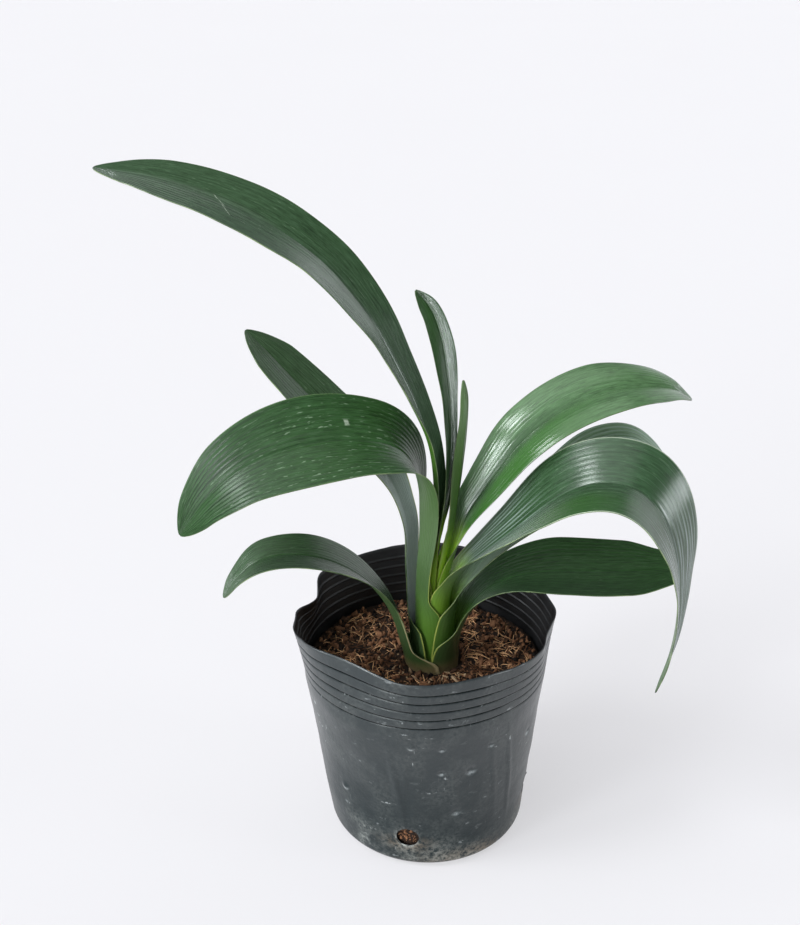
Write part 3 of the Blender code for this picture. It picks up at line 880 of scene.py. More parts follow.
def wax_leaf(tree, shader, u, v, streak, patch, look):
    """The coat of wax: its share on either half of the leaf, and how rough the streaks make it."""
    gloss = look["gloss"]
    near, far = look.get("bloom", (1.0, 1.0))
    waxed = ease(tree, u, 0.42, 0.60, near * gloss, far * gloss)
    if "dull_from" in look:
        waxed = times(tree, waxed, ease(tree, v, look["dull_from"], look["dull_from"] + 0.04, 1.0, 0.15))
    waxy = ease(tree, streak, 0.30, 0.70, 0.38 - 0.26 * gloss, 0.56 - 0.29 * gloss)
    waxy = plus(tree, waxy, times(tree, patch, 0.2))
    feed(tree, shader, Coat_Weight=waxed, Coat_Roughness=waxy)


def make_leaf_top(name, look, fresh_until, seed):
    """The upper face: deep and fresh green, veins, streaks, specks, and some painted sheen and shade."""
    made, tree, shader = new_finish(name, Specular_IOR_Level=0.10, Coat_IOR=look.get("shine", 1.52))
    where, u, v = leaf_coordinates(tree)
    margin = from_margin(tree, u)
    grains = leaf_grains(tree, where, u, seed)
    fine, broad, streak, vein = [grains[key] for key in ("fine", "broad", "streak", "vein")]
    green = grown_green(tree, grains, look["deep"])
    patch = times(tree, ease(tree, grains["dashes"], 0.57, 0.68), ease(tree, broad, 0.42, 0.62))
    patch = times(tree, patch, ease(tree, vein, -0.2, 0.5), look["mottle"])
    green = blend_colour(tree, patch, green, (0.17, 0.25, 0.15))
    for key, tinted in OWN_TINTS_AND_PAINTED_LIGHT.items():
        if key in look:
            green = tinted(tree, green, grains, u, v, look)
    # the young base tone; on leaf 3 it is a pale grey painted highlight up the petiole
    young_base_and_sheen = ease(tree, v, fresh_until - 0.035, fresh_until, 1.0, 0.0)
    green = blend_colour(tree, young_base_and_sheen, green, look["fresh"])
    green = blend_colour(tree, ease(tree, v, 0.008, FACE_FOOT, 1.0, 0.0), green, (0.26, 0.200, 0.100))
    rim, strength = look.get("rim", ((0.13, 0.21, 0.08), 0.45))
    green = blend_colour(tree, ease(tree, margin, 0.004, 0.012, strength, 0.0), green, rim)
    green = pale_edge(tree, green, margin, v, fresh_until, look)
    for first, last, half_width in look.get("marks", ()):
        scratched = mark(tree, u, v, first, last, half_width)
        scratched = times(tree, scratched, ease(tree, fine, 0.38, 0.55, 0.2, 0.9))
        green = blend_colour(tree, scratched, green, (0.34, 0.40, 0.30))
    speckled = times(tree, ease(tree, grains["specks"], 0.74, 0.80), ease(tree, broad, 0.5, 0.7), 0.6)
    green = blend_colour(tree, speckled, green, (0.42, 0.46, 0.38))
    feed(tree, shader, Base_Color=green, Roughness=ease(tree, fine, 0.25, 0.75, 0.45, 0.60))
    wax_leaf(tree, shader, u, v, streak, patch, look)
    relief = plus(tree, streak, times(tree, fine, 0.25))
    relief = plus(tree, relief, times(tree, patch, 0.3))
    relief = plus(tree, relief, times(tree, vein, 0.10))
    feed(tree, shader, Coat_Normal=set_bump(tree, shader, relief, 0.00018, 0.8))
    return made


def make_leaf_back(name, look, seed):
    """The back: a duller, paler green with the same streaks."""
    made, tree, shader = new_finish(name, IOR=1.45, Coat_Weight=0.6, Coat_Roughness=0.32)
    where, u, v = leaf_coordinates(tree)
    margin = from_margin(tree, u)
    tone = look["back"]
    fresh, fresh_until = look["sheath"]
    fine = grain(tree, stretch(tree, where, (150.0, 14.0, 1.0), (seed * 2.3, seed, 0.0)), 1.0, 3.0, 0.6)
    vein = calc(tree, "SINE", times(tree, u, math.tau * RIBS))
    green = blend_colour(tree, fine, scaled(tone, 0.75), scaled(tone, 1.35))
    green = blend_colour(tree, ease(tree, vein, 0.3, 1.0, 0.0, 0.3), green, scaled(tone, 1.6))
    green = blend_colour(tree, ease(tree, v, fresh_until - 0.04, fresh_until, 1.0, 0.0), green, fresh)
    green = blend_colour(tree, ease(tree, v, 0.009, BACK_FOOT, 1.0, 0.0), green, (0.28, 0.215, 0.105))
    green = blend_colour(tree, ease(tree, margin, 0.004, 0.012, 0.5, 0.0), green, (0.17, 0.25, 0.09))
    green = pale_edge(tree, green, margin, v, fresh_until + 0.02, look)
    feed(tree, shader, Base_Color=green, Roughness=ease(tree, fine, 0.25, 0.75, 0.40, 0.55))
    set_bump(tree, shader, plus(tree, fine, times(tree, vein, 0.3)), 0.0001, 0.8)
    return made


def make_leaf_margin():
    made, tree, shader = new_finish("leaf_margin", Roughness=0.45)
    along = grain(tree, object_place(tree), 90.0, 3.0)
    green = blend_colour(tree, ease(tree, along, 0.35, 0.75), (0.05, 0.09, 0.03), (0.24, 0.31, 0.14))
    feed(tree, shader, Base_Color=green)
    return made


leaf_margin = make_leaf_margin()
print("each leaf gets a face and a back of its own, and all share one margin")

# %% [markdown]
# The run of each leaf
#
# Outermost leaf first. Each spine is a list of (distance from the stem's axis, height above the
# soil), and starts at the foot of the sheath. crossing is the height at which the sheath's two
# margins pass the front and the back of the stem. widths, hollows and rolls are pairs at shares
# of the length: half width, half the angle that the blade is bent through from edge to edge,
# and how far its face turns to the front. lean is the height from which a leaf also leans to the
# back, and its slope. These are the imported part's own values.

# %% Values of the ten leaves
LEAVES = (
    {
        "turn": 195,
        "crossing": 0.004,
        "spine": (
            (0.0170, -0.010), (0.0176, 0.003), (0.0208, 0.018), (0.0260, 0.038), (0.0325, 0.052),
            (0.0405, 0.0635), (0.0520, 0.0745), (0.0660, 0.0835), (0.0800, 0.0890),
            (0.0950, 0.0910), (0.1080, 0.0890), (0.1200, 0.0800), (0.1290, 0.0675),
        ),
        "neck": 0.0125,
        "widths": ((0.35, 0.0135), (0.60, 0.0186), (0.80, 0.0160), (0.93, 0.0088)),
        "hollows": ((0.40, 34), (0.60, 26), (1.0, 14)),
        "rolls": ((0.25, 0), (0.60, 4), (1.0, 6)),
    },
    {
        "turn": 1,
        "crossing": 0.016,
        "spine": (
            (0.0155, -0.010), (0.0155, 0.012), (0.0168, 0.0225), (0.0235, 0.042), (0.0330, 0.0535),
            (0.0465, 0.0610), (0.0680, 0.0655), (0.0950, 0.0660), (0.1230, 0.0662),
            (0.1440, 0.0680), (0.1560, 0.0710),
        ),
        "neck": 0.014,
        "widths": ((0.35, 0.0180), (0.60, 0.0265), (0.80, 0.0250), (0.92, 0.0165)),
        "hollows": ((0.40, 32), (0.60, 22), (1.0, 10)),
        "rolls": ((0.30, 2), (0.60, 10), (1.0, 12)),
    },
    {
        "turn": 150,
        "crossing": 0.026,
        "spine": (
            (0.0140, -0.010), (0.0140, 0.018), (0.0165, 0.038), (0.0190, 0.068), (0.0200, 0.096),
            (0.0245, 0.109), (0.0320, 0.122), (0.0440, 0.134), (0.0600, 0.146), (0.0800, 0.157),
            (0.0960, 0.168), (0.1190, 0.185), (0.1350, 0.196),
        ),
        "neck": 0.0090,
        "widths": ((0.33, 0.0082), (0.44, 0.0095), (0.52, 0.0130), (0.62, 0.0168), (0.78, 0.0195),
                   (0.90, 0.0165), (0.96, 0.010)),
        "hollows": ((0.33, 52), (0.46, 46), (0.65, 26), (1.0, 14)),
        "rolls": ((0.40, 0), (0.70, 5), (1.0, 6)),
    },
    {
        "turn": 10,
        "crossing": 0.037,
        "spine": (
            (0.0125, -0.010), (0.0125, 0.026), (0.0148, 0.046), (0.0215, 0.059), (0.0390, 0.080),
            (0.0610, 0.0990), (0.0840, 0.1210), (0.1025, 0.1355), (0.1205, 0.1385),
            (0.1350, 0.1285), (0.1465, 0.1095), (0.1550, 0.0865), (0.1605, 0.0620),
        ),
        "neck": 0.0125,
        "widths": ((0.35, 0.0165), (0.60, 0.0245), (0.82, 0.0170), (0.94, 0.0085)),
        "hollows": ((0.35, 40), (0.60, 28), (1.0, 14)),
        "rolls": ((0.30, 4), (0.60, 14), (1.0, 8)),
    },
    {
        "turn": 200,
        "crossing": 0.039,
        "spine": (
            (0.0110, -0.010), (0.0110, 0.040), (0.0105, 0.070), (0.0088, 0.092), (0.0088, 0.112),
            (0.0098, 0.126), (0.0135, 0.141), (0.0210, 0.152), (0.0310, 0.1585), (0.0470, 0.1635),
            (0.0640, 0.1655), (0.0820, 0.1650), (0.1000, 0.1620), (0.1170, 0.1555),
            (0.1345, 0.1425), (0.1525, 0.1210),
        ),
        "neck": 0.0105,
        "widths": ((0.38, 0.0145), (0.50, 0.0225), (0.58, 0.0270), (0.70, 0.0295),
                   (0.86, 0.0230), (0.95, 0.0135)),
        "hollows": ((0.38, 56), (0.48, 46), (0.60, 26), (1.0, 12)),
        "rolls": ((0.36, 0), (0.47, 14), (0.57, 30), (0.70, 34), (1.0, 30)),
    },
    {
        "turn": -15,
        "crossing": 0.051,
        "spine": (
            (0.0095, -0.010), (0.0095, 0.049), (0.0117, 0.060), (0.0187, 0.0715), (0.0265, 0.080),
            (0.0360, 0.090), (0.0475, 0.102), (0.0590, 0.1145), (0.0750, 0.1305), (0.0905, 0.1405),
            (0.1070, 0.1435), (0.1200, 0.1405), (0.1305, 0.1305), (0.1385, 0.1165),
            (0.1435, 0.1010), (0.1465, 0.0815), (0.1480, 0.0610), (0.1470, 0.0400),
            (0.1400, 0.0040),
        ),
        "neck": 0.0125,
        "widths": ((0.30, 0.0175), (0.48, 0.0290), (0.58, 0.0300), (0.70, 0.0240),
                   (0.85, 0.0110), (0.95, 0.005)),
        "hollows": ((0.30, 46), (0.50, 32), (0.70, 28), (1.0, 16)),
        "rolls": ((0.25, 6), (0.45, 21), (0.60, 20), (0.75, 12), (1.0, 0)),
    },
    {
        "turn": 168,
        "crossing": 0.058,
        "spine": (
            (0.0080, -0.010), (0.0080, 0.058), (0.0055, 0.082), (0.0005, 0.111), (0.0010, 0.136),
            (0.0045, 0.1565), (0.0098, 0.1710), (0.0170, 0.1875), (0.0260, 0.2050),
            (0.0362, 0.2240), (0.0500, 0.2425), (0.0645, 0.2580), (0.0848, 0.2725),
            (0.1070, 0.2840), (0.1330, 0.2935), (0.1650, 0.3010), (0.1980, 0.3040),
        ),
        "neck": 0.0110,
        "widths": ((0.32, 0.0112), (0.45, 0.0125), (0.55, 0.0165), (0.66, 0.0205), (0.78, 0.0215),
                   (0.90, 0.0170), (0.96, 0.0110)),
        "hollows": ((0.30, 52), (0.45, 42), (0.65, 26), (1.0, 10)),
        "rolls": ((0.35, 0), (0.55, 14), (0.80, 18), (1.0, 16)),
    },
    {
        "turn": 18,
        "crossing": 0.070,
        "spine": (
            (0.0065, -0.010), (0.0065, 0.054), (0.0092, 0.067), (0.0150, 0.083), (0.0200, 0.102),
            (0.0290, 0.1150), (0.0390, 0.1285), (0.0540, 0.1468), (0.0742, 0.1612),
            (0.1020, 0.1712), (0.1320, 0.1722), (0.1520, 0.1676), (0.1640, 0.1600),
        ),
        "neck": 0.0100,
        "widths": ((0.40, 0.0122), (0.50, 0.0160), (0.62, 0.0212), (0.78, 0.0235),
                   (0.90, 0.0170), (0.96, 0.010)),
        "hollows": ((0.40, 44), (0.60, 30), (1.0, 12)),
        "rolls": ((0.30, 0), (0.42, 20), (0.52, 24), (0.66, 17), (1.0, 14)),
    },
    {
        "turn": 180,
        "crossing": 0.078,
        "spine": (
            (0.0050, -0.010), (0.0050, 0.052), (0.0025, 0.080), (-0.0050, 0.112), (-0.0088, 0.1512),
            (-0.0080, 0.1687), (-0.0058, 0.1885), (-0.0023, 0.2066), (0.0036, 0.2212), (0.0128, 0.2313),
        ),
        "lean": (0.105, 0.42),
        "neck": 0.0075,
        "widths": ((0.45, 0.0056), (0.62, 0.0038), (0.72, 0.0047), (0.86, 0.0074), (0.96, 0.0058)),
        "hollows": ((0.55, 50), (0.80, 44), (1.0, 30)),
        "rolls": ((0.30, 0), (0.55, 40), (0.75, 80), (1.0, 88)),
    },
    {
        "turn": 4,
        "crossing": 0.080,
        "spine": (
            (0.0035, -0.010), (0.0035, 0.045), (0.0065, 0.070), (0.0115, 0.100), (0.0135, 0.1242),
            (0.0158, 0.1460), (0.0174, 0.1622), (0.0171, 0.1728), (0.0158, 0.1826),
        ),
        "lean": (0.105, 0.42),
        "neck": 0.0055,
        "widths": ((0.55, 0.0049), (0.80, 0.0060), (0.92, 0.0042)),
        "hollows": ((0.60, 44), (0.80, 34), (1.0, 20)),
        "rolls": ((0.35, 0), (0.60, -30), (1.0, -45)),
    },
)
print(f"{len(LEAVES)} leaves, the outermost first")

# %% [markdown]
# From values to a blade
#
# A flat grid is bent in two ways: along its length it follows the spine, and across it is an arc
# whose angle goes from a closed sheath to a nearly flat blade. The finer relief is added along
# the surface's own normal: two soft lobes beside a sunk midrib, parallel ribs that crowd together
# in the neck, and slow waves at the margins. The foot of each leaf stays exactly as packed,
# because sheaths lie 0.5 mm apart there.

# %% Read a leaf's curves
SHEATH_WRAP = 114
WRAP_PER_RISE = 800
NECK_WRAP = 62
NECK_OPENING = 0.0015
FREE_RISE = 0.030
LEAN_RAMP = 0.040
SPINE_SAMPLES = 600
TIP_ROUNDING = 0.055


def smooth_curve(knots, values, where, free_from=None):
    """A soft curve through (knot, value) pairs, read at the given places.

    It never overshoots, except from knot number free_from on, where it arches freely.
    """
    knots = np.asarray(knots, float)
    values = np.asarray(values, float)
    rises = np.diff(values) / np.diff(knots)
    before, after = rises[:-1], rises[1:]
    same_way = before * after > 0
    total = np.where(same_way, before + after, 1.0)
    middle_slopes = np.where(same_way, 2 * before * after / total, 0.0)
    if free_from is not None:
        gaps = np.diff(knots)
        mean = (before * gaps[1:] + after * gaps[:-1]) / (gaps[1:] + gaps[:-1])
        middle_slopes[free_from - 1:] = mean[free_from - 1:]
    slopes = np.concatenate([rises[:1], middle_slopes, rises[-1:]])
    piece = np.clip(np.searchsorted(knots, where) - 1, 0, len(knots) - 2)
    width = knots[piece + 1] - knots[piece]
    t = (where - knots[piece]) / width
    start = values[piece] * (2 * t**3 - 3 * t**2 + 1)
    end = values[piece + 1] * (3 * t**2 - 2 * t**3)
    leave = slopes[piece] * width * (t**3 - 2 * t**2 + t)
    arrive = slopes[piece + 1] * width * (t**3 - t**2)
    return start + end + leave + arrive


def run_of_leaf(spec, rows):
    """(reach, height) along the spine, closer together towards the tip, and their distances."""
    points = np.array(spec["spine"])
    chords = np.concatenate([[0.0], np.cumsum(np.hypot(*np.diff(points, axis=0).T))])
    fine = np.linspace(0.0, chords[-1], SPINE_SAMPLES)
    free = int(np.argmax(points[:, 1] > spec["crossing"] + FREE_RISE))
    curve = np.stack([smooth_curve(chords, points[:, axis], fine, free) for axis in (0, 1)], axis=1)
    along = np.concatenate([[0.0], np.cumsum(np.hypot(*np.diff(curve, axis=0).T))])
    distances = along[-1] * (1 - (1 - np.linspace(0.0, 1.0, rows + 1)) ** 1.35)
    run = np.stack([np.interp(distances, along, curve[:, axis]) for axis in (0, 1)], axis=1)
    for axis in (0, 1):
        soft = np.convolve(np.pad(run[:, axis], 3, "edge"), np.ones(7) / 7, "valid")
        run[4:-4, axis] = soft[4:-4]
    return run, distances


def leaned_back(spec, heights):
    """How far a leaf's lean moves points at these heights to the back."""
    start, lean = spec.get("lean", (0.0, 0.0))
    rise = np.maximum(0.0, heights - SOIL_LEVEL - start)
    return lean * np.where(rise < LEAN_RAMP, rise**2 / (2 * LEAN_RAMP), rise - LEAN_RAMP / 2)


def sections_of_leaf(spec, radius, distances):
    """Half width, half angle of the hollow and roll of a leaf at distances from its foot."""
    length = distances[-1]
    crossing = spec["crossing"] + SOIL_LEVEL - LEAF_FOOT
    sheath = [0.0, crossing, crossing + NECK_RISE]
    foot_wrap = min(SHEATH_WRAP, 90 + WRAP_PER_RISE * spec["crossing"])
    neck_wrap = min(NECK_WRAP, math.degrees(spec["neck"] / (radius + NECK_OPENING)))
    shares, hollows = zip(*spec["hollows"])
    blade = [share * length for share in shares]
    wraps = np.radians(smooth_curve(sheath + blade, (foot_wrap, 90, neck_wrap, *hollows), distances))
    shares, widths = zip(*spec["widths"])
    blade = [share * length for share in shares]
    clasp = [radius * math.radians(foot_wrap), radius * math.pi / 2, spec["neck"]]
    halves = smooth_curve(sheath + blade + [length], clasp + [*widths, 0.6 * widths[-1]], distances)
    halves = np.where(distances < crossing, radius * wraps, halves)
    past = np.clip((distances / length - 1 + TIP_ROUNDING) / TIP_ROUNDING, 0.0, 0.997)
    halves = halves * np.sqrt(1 - past**2)
    shares, rolls = zip(*spec["rolls"])
    blade = [share * length for share in shares]
    rolls = smooth_curve([0.0, crossing, *blade], (0.0, 0.0, *rolls), distances)
    side = math.copysign(1.0, math.cos(math.radians(spec["turn"])))
    return halves, wraps, side * np.radians(rolls), crossing


print("a leaf's curves are read from its values")

# %% Relief of a blade
MIDRIB_DEPTH = 0.00022
MIDRIB_WIDTH = 0.0012
RIB_HEIGHT = 0.000036
NECK_RIBS = 2.6
EDGE_WAVE = 0.00012


def relief(number, fold, place, distance, half, open_blade, neck_share):
    """Height of the fine form above the plain arc, for arrays of points of one leaf."""
    draw = np.random.default_rng(100 + number)
    phases = draw.uniform(0, math.tau, 6)
    lengths = draw.uniform(0.024, 0.042, 3)
    side = np.abs(place)
    lobes = fold * half * 4 * side * (1 - side)
    midrib = -MIDRIB_DEPTH * np.exp(-((place * half / MIDRIB_WIDTH) ** 2))
    wobble = 0.10 * np.sin(distance / 0.037 + phases[0]) + 0.06 * np.sin(distance / 0.013 + phases[1])
    ribs = np.cos(math.pi * RIBS * (place + 1) + wobble)
    ribs = ribs * (0.75 + 0.25 * np.sin(3.1 * place + distance / 0.03 + phases[2]))
    ribs = RIB_HEIGHT * ribs * (1.0 + NECK_RIBS * neck_share) * (1 - side**8)
    left = np.sin(math.tau * distance / lengths[0] + phases[3])
    right = np.sin(math.tau * distance / lengths[1] + phases[4])
    margin = EDGE_WAVE * side**4 * np.where(place < 0, left, right)
    slow = 0.00035 * np.sin(math.tau * distance / (2.3 * lengths[2]) + phases[5]) * place
    return open_blade * (lobes + margin + slow) + np.clip(open_blade + 0.25, 0, 1) * (ribs + midrib)


print("relief: lobes, midrib, ribs and waved margins")

# %% Build the leaves
COLUMNS = 96
ROW_PITCH = 0.0021
BLADE = 0.0009


def build_leaf(number, spec, fold, finishes):
    """One leaf as a fine grid with a waxy face, a dull back and a thin pale margin."""
    radius = OUTER_SHEATH - SHEATH_STEP * (number - 1)
    columns = COLUMNS if number < 9 else COLUMNS // 2
    length = sum(math.dist(*pair) for pair in zip(spec["spine"], spec["spine"][1:]))
    rows = round(length / ROW_PITCH)
    run, distances = run_of_leaf(spec, rows)
    halves, wraps, rolls, crossing = sections_of_leaf(spec, radius, distances)
    slopes = np.gradient(run, distances, axis=0)
    slopes[0] = (0.0, 1.0)
    slopes /= np.hypot(slopes[:, 0], slopes[:, 1])[:, None]

    shape = bmesh.new()
    bmesh.ops.create_grid(shape, x_segments=columns, y_segments=rows, size=0.5)
    flat = np.array([vert.co[:2] for vert in shape.verts])
    place = 2 * flat[:, 0]
    row = np.rint((flat[:, 1] + 0.5) * rows).astype(int)

    turn = math.radians(spec["turn"])
    outward = np.array([math.cos(turn), math.sin(turn), 0.0])
    upward = np.array([0.0, 0.0, 1.0])
    along = slopes[row, :1] * outward + slopes[row, 1:] * upward
    inner = slopes[row, :1] * upward - slopes[row, 1:] * outward
    sideways = np.cross(along, inner)
    cosine = np.cos(rolls[row])[:, None]
    sine = np.sin(rolls[row])[:, None]
    face = inner * cosine + sideways * sine
    edge = sideways * cosine - inner * sine
    bend = (halves / wraps)[row]
    angle = place * wraps[row]
    foot = np.array([*STEM_PLACE.xy, SOIL_LEVEL])
    middle = foot + run[row, :1] * outward + run[row, 1:] * upward
    arc = edge * (bend * np.sin(angle))[:, None] + face * (bend * (1 - np.cos(angle)))[:, None]
    normal = face * np.cos(angle)[:, None] - edge * np.sin(angle)[:, None]

    opening = np.clip((distances - crossing) / (1.6 * NECK_RISE), 0.0, 1.0)
    tip_fade = np.clip((distances[-1] - distances) / 0.012, 0.0, 1.0)
    open_blade = (opening**2 * (3 - 2 * opening) * tip_fade)[row]
    neck_share = np.clip(1.6 - halves / halves[rows // 3:].max() * 1.6, 0.0, 1.0)[row] * opening[row]
    lift = relief(number, fold, place, distances[row], halves[row], open_blade, neck_share)
    points = middle + arc + normal * lift[:, None]
    points[:, 1] += leaned_back(spec, points[:, 2])
    for vert, co in zip(shape.verts, points):
        vert.co = co

    leaf = make_piece(f"leaf_{number}_blade", shape, finishes, (f"leaf_{number}",))
    mesh = leaf.data
    corners = np.zeros(len(mesh.loops), int)
    mesh.loops.foreach_get("vertex_index", corners)
    uv = np.stack([(place + 1) / 2, distances[row]], axis=1)[corners]
    mesh.uv_layers.new(name="leaf").data.foreach_set("uv", uv.ravel())
    thin = leaf.vertex_groups.new(name="body")
    body = 1 - 0.65 * np.abs(place) ** 6
    for step in range(11):
        members = np.nonzero(np.rint(body * 10) == step)[0]
        thin.add(members.tolist(), step / 10, "REPLACE")
    blade = leaf.modifiers.new("thickness", "SOLIDIFY")
    blade.thickness = BLADE
    blade.offset = 0.0
    blade.vertex_group = "body"
    blade.thickness_vertex_group = 0.3
    blade.material_offset = 1
    blade.material_offset_rim = 2
    return leaf


# %% [markdown]
# Ten greens
#
# No two leaves are quite alike. The outer, older ones are the darkest, the young ones in the
# heart are lighter and more yellow at their base, and the big arch at the left carries rows of
# pale dashes. So each leaf has its own values, and the rest of the recipe is shared:
#
# - deep, back and fresh are the tones of the face, the back and the young base, and sheath is
#   the back's own base tone and how far up it goes; leaf 4's pale deep tone is painted sheen, and
#   leaf 3's pale grey fresh tone is a painted highlight on its petiole
# - mottle, gloss and fold say how dashed, waxy and folded the leaf is
# - shine is the wax's refraction, bloom its share on the two halves, and dull_from where it ends
# - fresh_and_sheen_rise is how far the young base, a painted highlight on leaf 3, reaches above
#   the place where the sheath's margins cross
# - flush, rim, edge and marks are tints, scars and margins of one leaf alone; painted_streaks are
#   bands of painted highlight (leaves 4 and 6) and painted shade (leaf 5), and midrib_shade is
#   painted shade along the midrib (leaf 8)

# %% Dress and place every leaf
LEAF_LOOKS = (
    {"deep": (0.013, 0.041, 0.009), "back": (0.038, 0.083, 0.026), "fresh": (0.05, 0.12, 0.02),
     "sheath": ((0.05, 0.11, 0.02), 0.040), "mottle": 0.25, "gloss": 0.75, "fold": 0.05,
     "edge": (0.62, 0.52, 0.28), "edge_width": 0.060},
    {"deep": (0.011, 0.042, 0.007), "back": (0.034, 0.071, 0.022), "fresh": (0.10, 0.20, 0.02),
     "sheath": ((0.04, 0.09, 0.02), 0.050), "mottle": 0.2, "gloss": 0.45, "fold": 0.0},
    # leaf 3: its pale grey fresh tone, carried far up, is a painted highlight on the petiole
    {"deep": (0.013, 0.036, 0.009), "back": (0.045, 0.083, 0.034), "fresh": (0.42, 0.49, 0.46),
     "sheath": ((0.04, 0.09, 0.02), 0.050), "mottle": 0.35, "gloss": 0.70, "fold": 0.05,
     "fresh_and_sheen_rise": 0.125},
    # leaf 4: its pale deep tone is painted sheen, and its pale streak band is a painted highlight
    {"deep": (0.135, 0.200, 0.130), "back": (0.045, 0.083, 0.034), "fresh": (0.16, 0.30, 0.02),
     "sheath": ((0.07, 0.15, 0.02), 0.070), "mottle": 0.2, "gloss": 0.30, "fold": 0.05,
     "painted_streaks": (((0.32, 0.41, 0.35), 0.150, 0.215),)},
    # leaf 5: the dark streak band towards its tip is painted shade
    {"deep": (0.011, 0.042, 0.007), "back": (0.060, 0.120, 0.034), "fresh": (0.12, 0.24, 0.02),
     "sheath": ((0.09, 0.20, 0.02), 0.075), "mottle": 1.0, "gloss": 0.75, "fold": 0.02,
     "dull_from": 0.258, "painted_streaks": (((0.004, 0.020, 0.003), 0.270, 0.5),),
     "marks": (((0.650, 0.1990), (0.740, 0.2000), 0.0016),)},
    # leaf 6: the pale streak bands at its neck and on its downturn are painted highlights
    {"deep": (0.014, 0.042, 0.013), "back": (0.090, 0.143, 0.075), "fresh": (0.34, 0.58, 0.05),
     "sheath": ((0.14, 0.27, 0.02), 0.092), "mottle": 0.2, "gloss": 0.85, "fold": 0.07,
     "shine": 1.60, "flush": ((0.016, 0.070, 0.006), 0.58, 0.235), "rim": ((0.42, 0.48, 0.36), 0.9),
     "painted_streaks": (((0.32, 0.37, 0.36), 0.265, 0.5), ((0.18, 0.24, 0.20), 0.0, 0.125))},
    {"deep": (0.018, 0.043, 0.016), "back": (0.045, 0.120, 0.012), "fresh": (0.32, 0.62, 0.03),
     "sheath": ((0.18, 0.35, 0.02), 0.100), "mottle": 0.3, "gloss": 1.0, "fold": 0.015,
     "shine": 1.75, "bloom": (1.0, 0.06),
     "marks": (((0.25, 0.3440), (0.43, 0.3530), 0.0005), ((0.38, 0.3490), (0.56, 0.3600), 0.0004))},
    # leaf 8: the dark band along its midrib is painted shade
    {"deep": (0.044, 0.098, 0.034), "back": (0.064, 0.150, 0.019), "fresh": (0.44, 0.76, 0.05),
     "sheath": ((0.21, 0.38, 0.03), 0.105), "mottle": 0.15, "gloss": 1.0, "fold": 0.15,
     "shine": 1.60, "flush": ((0.024, 0.105, 0.008), 0.48, 0.235),
     "midrib_shade": ((0.014, 0.055, 0.010), 0.16, 0.215)},
    {"deep": (0.011, 0.036, 0.006), "back": (0.038, 0.105, 0.011), "fresh": (0.50, 0.78, 0.05),
     "sheath": ((0.26, 0.46, 0.02), 0.110), "mottle": 0.1, "gloss": 1.0, "fold": 0.14,
     "shine": 2.0, "bloom": (0.15, 1.0)},
    {"deep": (0.024, 0.069, 0.013), "back": (0.045, 0.112, 0.012), "fresh": (0.50, 0.80, 0.05),
     "sheath": ((0.26, 0.46, 0.02), 0.115), "mottle": 0.1, "gloss": 1.0, "fold": 0.04,
     "shine": 1.75},
)
for number, (spec, look) in enumerate(zip(LEAVES, LEAF_LOOKS), start=1):
    fresh_until = spec["crossing"] + look.get("fresh_and_sheen_rise", 0.045)
    top = make_leaf_top(f"leaf_{number}_face", look, fresh_until, number)
    back = make_leaf_back(f"leaf_{number}_back", look, number)
    build_leaf(number, spec, look["fold"], (top, back, leaf_margin))

# %% [markdown]
# The stem
#
# The short stem stands in the soil under the leaves, where it can't be seen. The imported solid
# has the right shape, so it only gets a finish: pale, fibrous tissue with brown scars.

# %% Finish of the stem
def make_stem_finish():
    made, tree, shader = new_finish("stem_tissue")
    where = object_place(tree)
    rings = grain(tree, stretch(tree, where, (40.0, 40.0, 700.0)), 1.0, 3.0)
    colour = blend_colour(tree, ease(tree, rings, 0.35, 0.65), (0.20, 0.13, 0.05), (0.42, 0.38, 0.18))
    feed(tree, shader, Base_Color=colour, Roughness=ease(tree, rings, 0.2, 0.8, 0.55, 0.8))
    set_bump(tree, shader, rings, 0.0004)
    return made


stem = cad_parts["stem"]
stem.data.materials.clear()
stem.data.materials.append(make_stem_finish())
print("the stem keeps its packed shape")

# %% [markdown]
# Floor, light and camera
#
# A pale floor that runs far back and glows a little gives an even ground. The glossy leaves show
# what is around them, so the light comes from six wide, far-off lamps: two high ones at the left,
# like a tall window, which draw the bright bands on every face that looks that way, a low one
# behind them, a low one at the front left, one low at the right and one overhead. The room is
# bright at eye level and dim above, so the other faces stay deep green, and a bright doorway at
# the back right draws the sheen on the right-hand leaves. The camera looks down a little, with a
# normal lens, from where all ten leaves fall on the photographed ones.

# %% Lay the floor
FLOOR_SIZE = 30.0
FLOOR_GLOW = 0.535


def make_floor_finish():
    made, tree, shader = new_finish(
        "pale_floor", Roughness=0.8, Specular_IOR_Level=0.1,
        Emission_Color=(0.985, 0.980, 1.0, 1.0), Emission_Strength=FLOOR_GLOW,
    )
    cloud = grain(tree, object_place(tree), 3.0, 2.0)
    colour = blend_colour(tree, cloud, (0.304, 0.294, 0.301), (0.311, 0.301, 0.308))
    feed(tree, shader, Base_Color=colour)
    return made


floor_shape = bmesh.new()
bmesh.ops.create_grid(floor_shape, x_segments=4, y_segments=4, size=FLOOR_SIZE / 2)
bmesh.ops.translate(floor_shape, verts=floor_shape.verts, vec=(0, 0, POT_LOW.z))
floor_mesh = bpy.data.meshes.new("floor")
floor_shape.to_mesh(floor_mesh)
floor_shape.free()
floor_mesh.materials.append(make_floor_finish())
floor = bpy.data.objects.new("floor", floor_mesh)
bpy.context.scene.collection.objects.link(floor)
print(f"the floor is {FLOOR_SIZE:.0f} m wide")


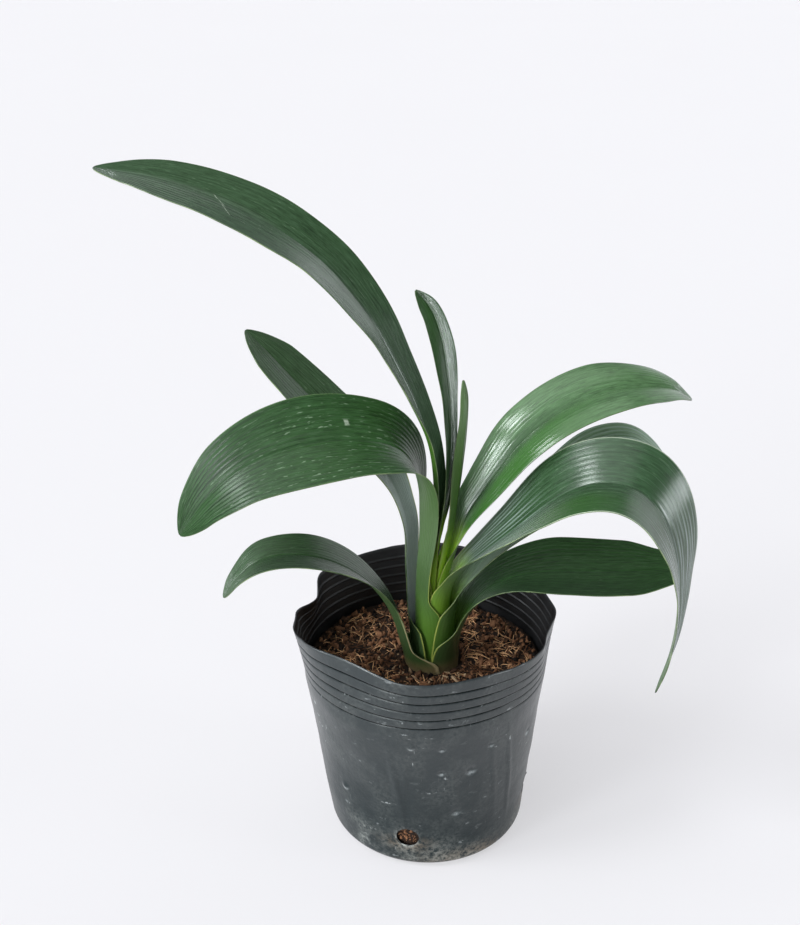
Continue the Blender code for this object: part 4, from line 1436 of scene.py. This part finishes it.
# %% Hang the soft lights
def soft_light(name, bearing, height, size, power, colour=(1.0, 1.0, 1.0)):
    """A far round light as wide as size. bearing runs from the back over the right, in degrees."""
    light = bpy.data.lights.new(name, "SUN")
    light.angle = math.radians(size)
    light.energy = power
    light.color = colour
    lamp = bpy.data.objects.new(name, light)
    level = math.cos(math.radians(height))
    across = math.radians(bearing)
    way = Vector((level * math.sin(across), level * math.cos(across), math.sin(math.radians(height))))
    lamp.location = 2 * way
    lamp.rotation_euler = lamp.location.to_track_quat("Z", "Y").to_euler()
    bpy.context.scene.collection.objects.link(lamp)


soft_light("left_window", -129, 26, 16, 1.50, (0.93, 0.98, 1.0))
soft_light("low_left", -86, 11, 12, 0.55, (0.93, 0.98, 1.0))
soft_light("left_window_top", -106, 48, 18, 1.40, (0.94, 0.98, 1.0))
soft_light("front_left", -147, 11, 20, 0.95, (0.93, 0.98, 1.0))
soft_light("right_window", 100, 11, 20, 0.90, (0.92, 0.97, 1.0))
soft_light("overhead", -40, 76, 64, 0.55)


def towards(tree, way, direction):
    """How far a view's direction agrees with another one."""
    return add_node(tree, "VectorMath", {0: way, 1: direction}, operation="DOT_PRODUCT").outputs["Value"]


def paint_room():
    """A room that is dim above and bright at eye level, at the left and in a doorway."""
    world = bpy.data.worlds.new("studio")
    bpy.context.scene.world = world
    world.use_nodes = True
    tree = world.node_tree
    way = add_node(tree, "TexCoord", {}).outputs["Generated"]
    leftward = ease(tree, towards(tree, way, (-0.80, -0.40, 0.45)), 0.0, 0.9)
    room = blend_colour(tree, leftward, (0.17, 0.18, 0.20), (0.70, 0.73, 0.80))
    behind = ease(tree, split(tree, way)[1], -0.1, 0.5)
    horizon = blend_colour(tree, behind, (0.40, 0.41, 0.43), (1.15, 1.17, 1.22))
    glow = blend_colour(tree, ease(tree, split(tree, way)[2], -0.02, 0.24), horizon, room)
    doorway = ease(tree, towards(tree, way, (0.749, 0.629, 0.208)), 0.80, 0.95)
    glow = blend_colour(tree, doorway, glow, (1.35, 1.40, 1.45))
    backdrop = tree.nodes["Background"].inputs
    tree.links.new(glow, backdrop["Color"])
    backdrop["Strength"].default_value = 1.0


paint_room()
print("six soft lights and a pale room")

# %% Place the camera
CAMERA_PLACE = Vector((-0.003, -0.70168, 0.62331))
CAMERA_PITCH = 27.747
CAMERA_YAW = 1.209
LENS = 53.05
SENSOR = 36.0

lens = bpy.data.cameras.new("camera")
lens.lens = LENS
lens.sensor_width = SENSOR
lens.clip_start = 0.01
lens.clip_end = 50.0
camera = bpy.data.objects.new("camera", lens)
camera.location = CAMERA_PLACE
camera.rotation_euler = (math.radians(90 - CAMERA_PITCH), 0.0, math.radians(CAMERA_YAW))
bpy.context.scene.collection.objects.link(camera)
bpy.context.scene.camera = camera
bpy.context.scene.view_settings.view_transform = "Standard"
print(f"the camera stands {-CAMERA_PLACE.y * 100:.0f} cm in front and looks {CAMERA_PITCH:.0f} degrees down")
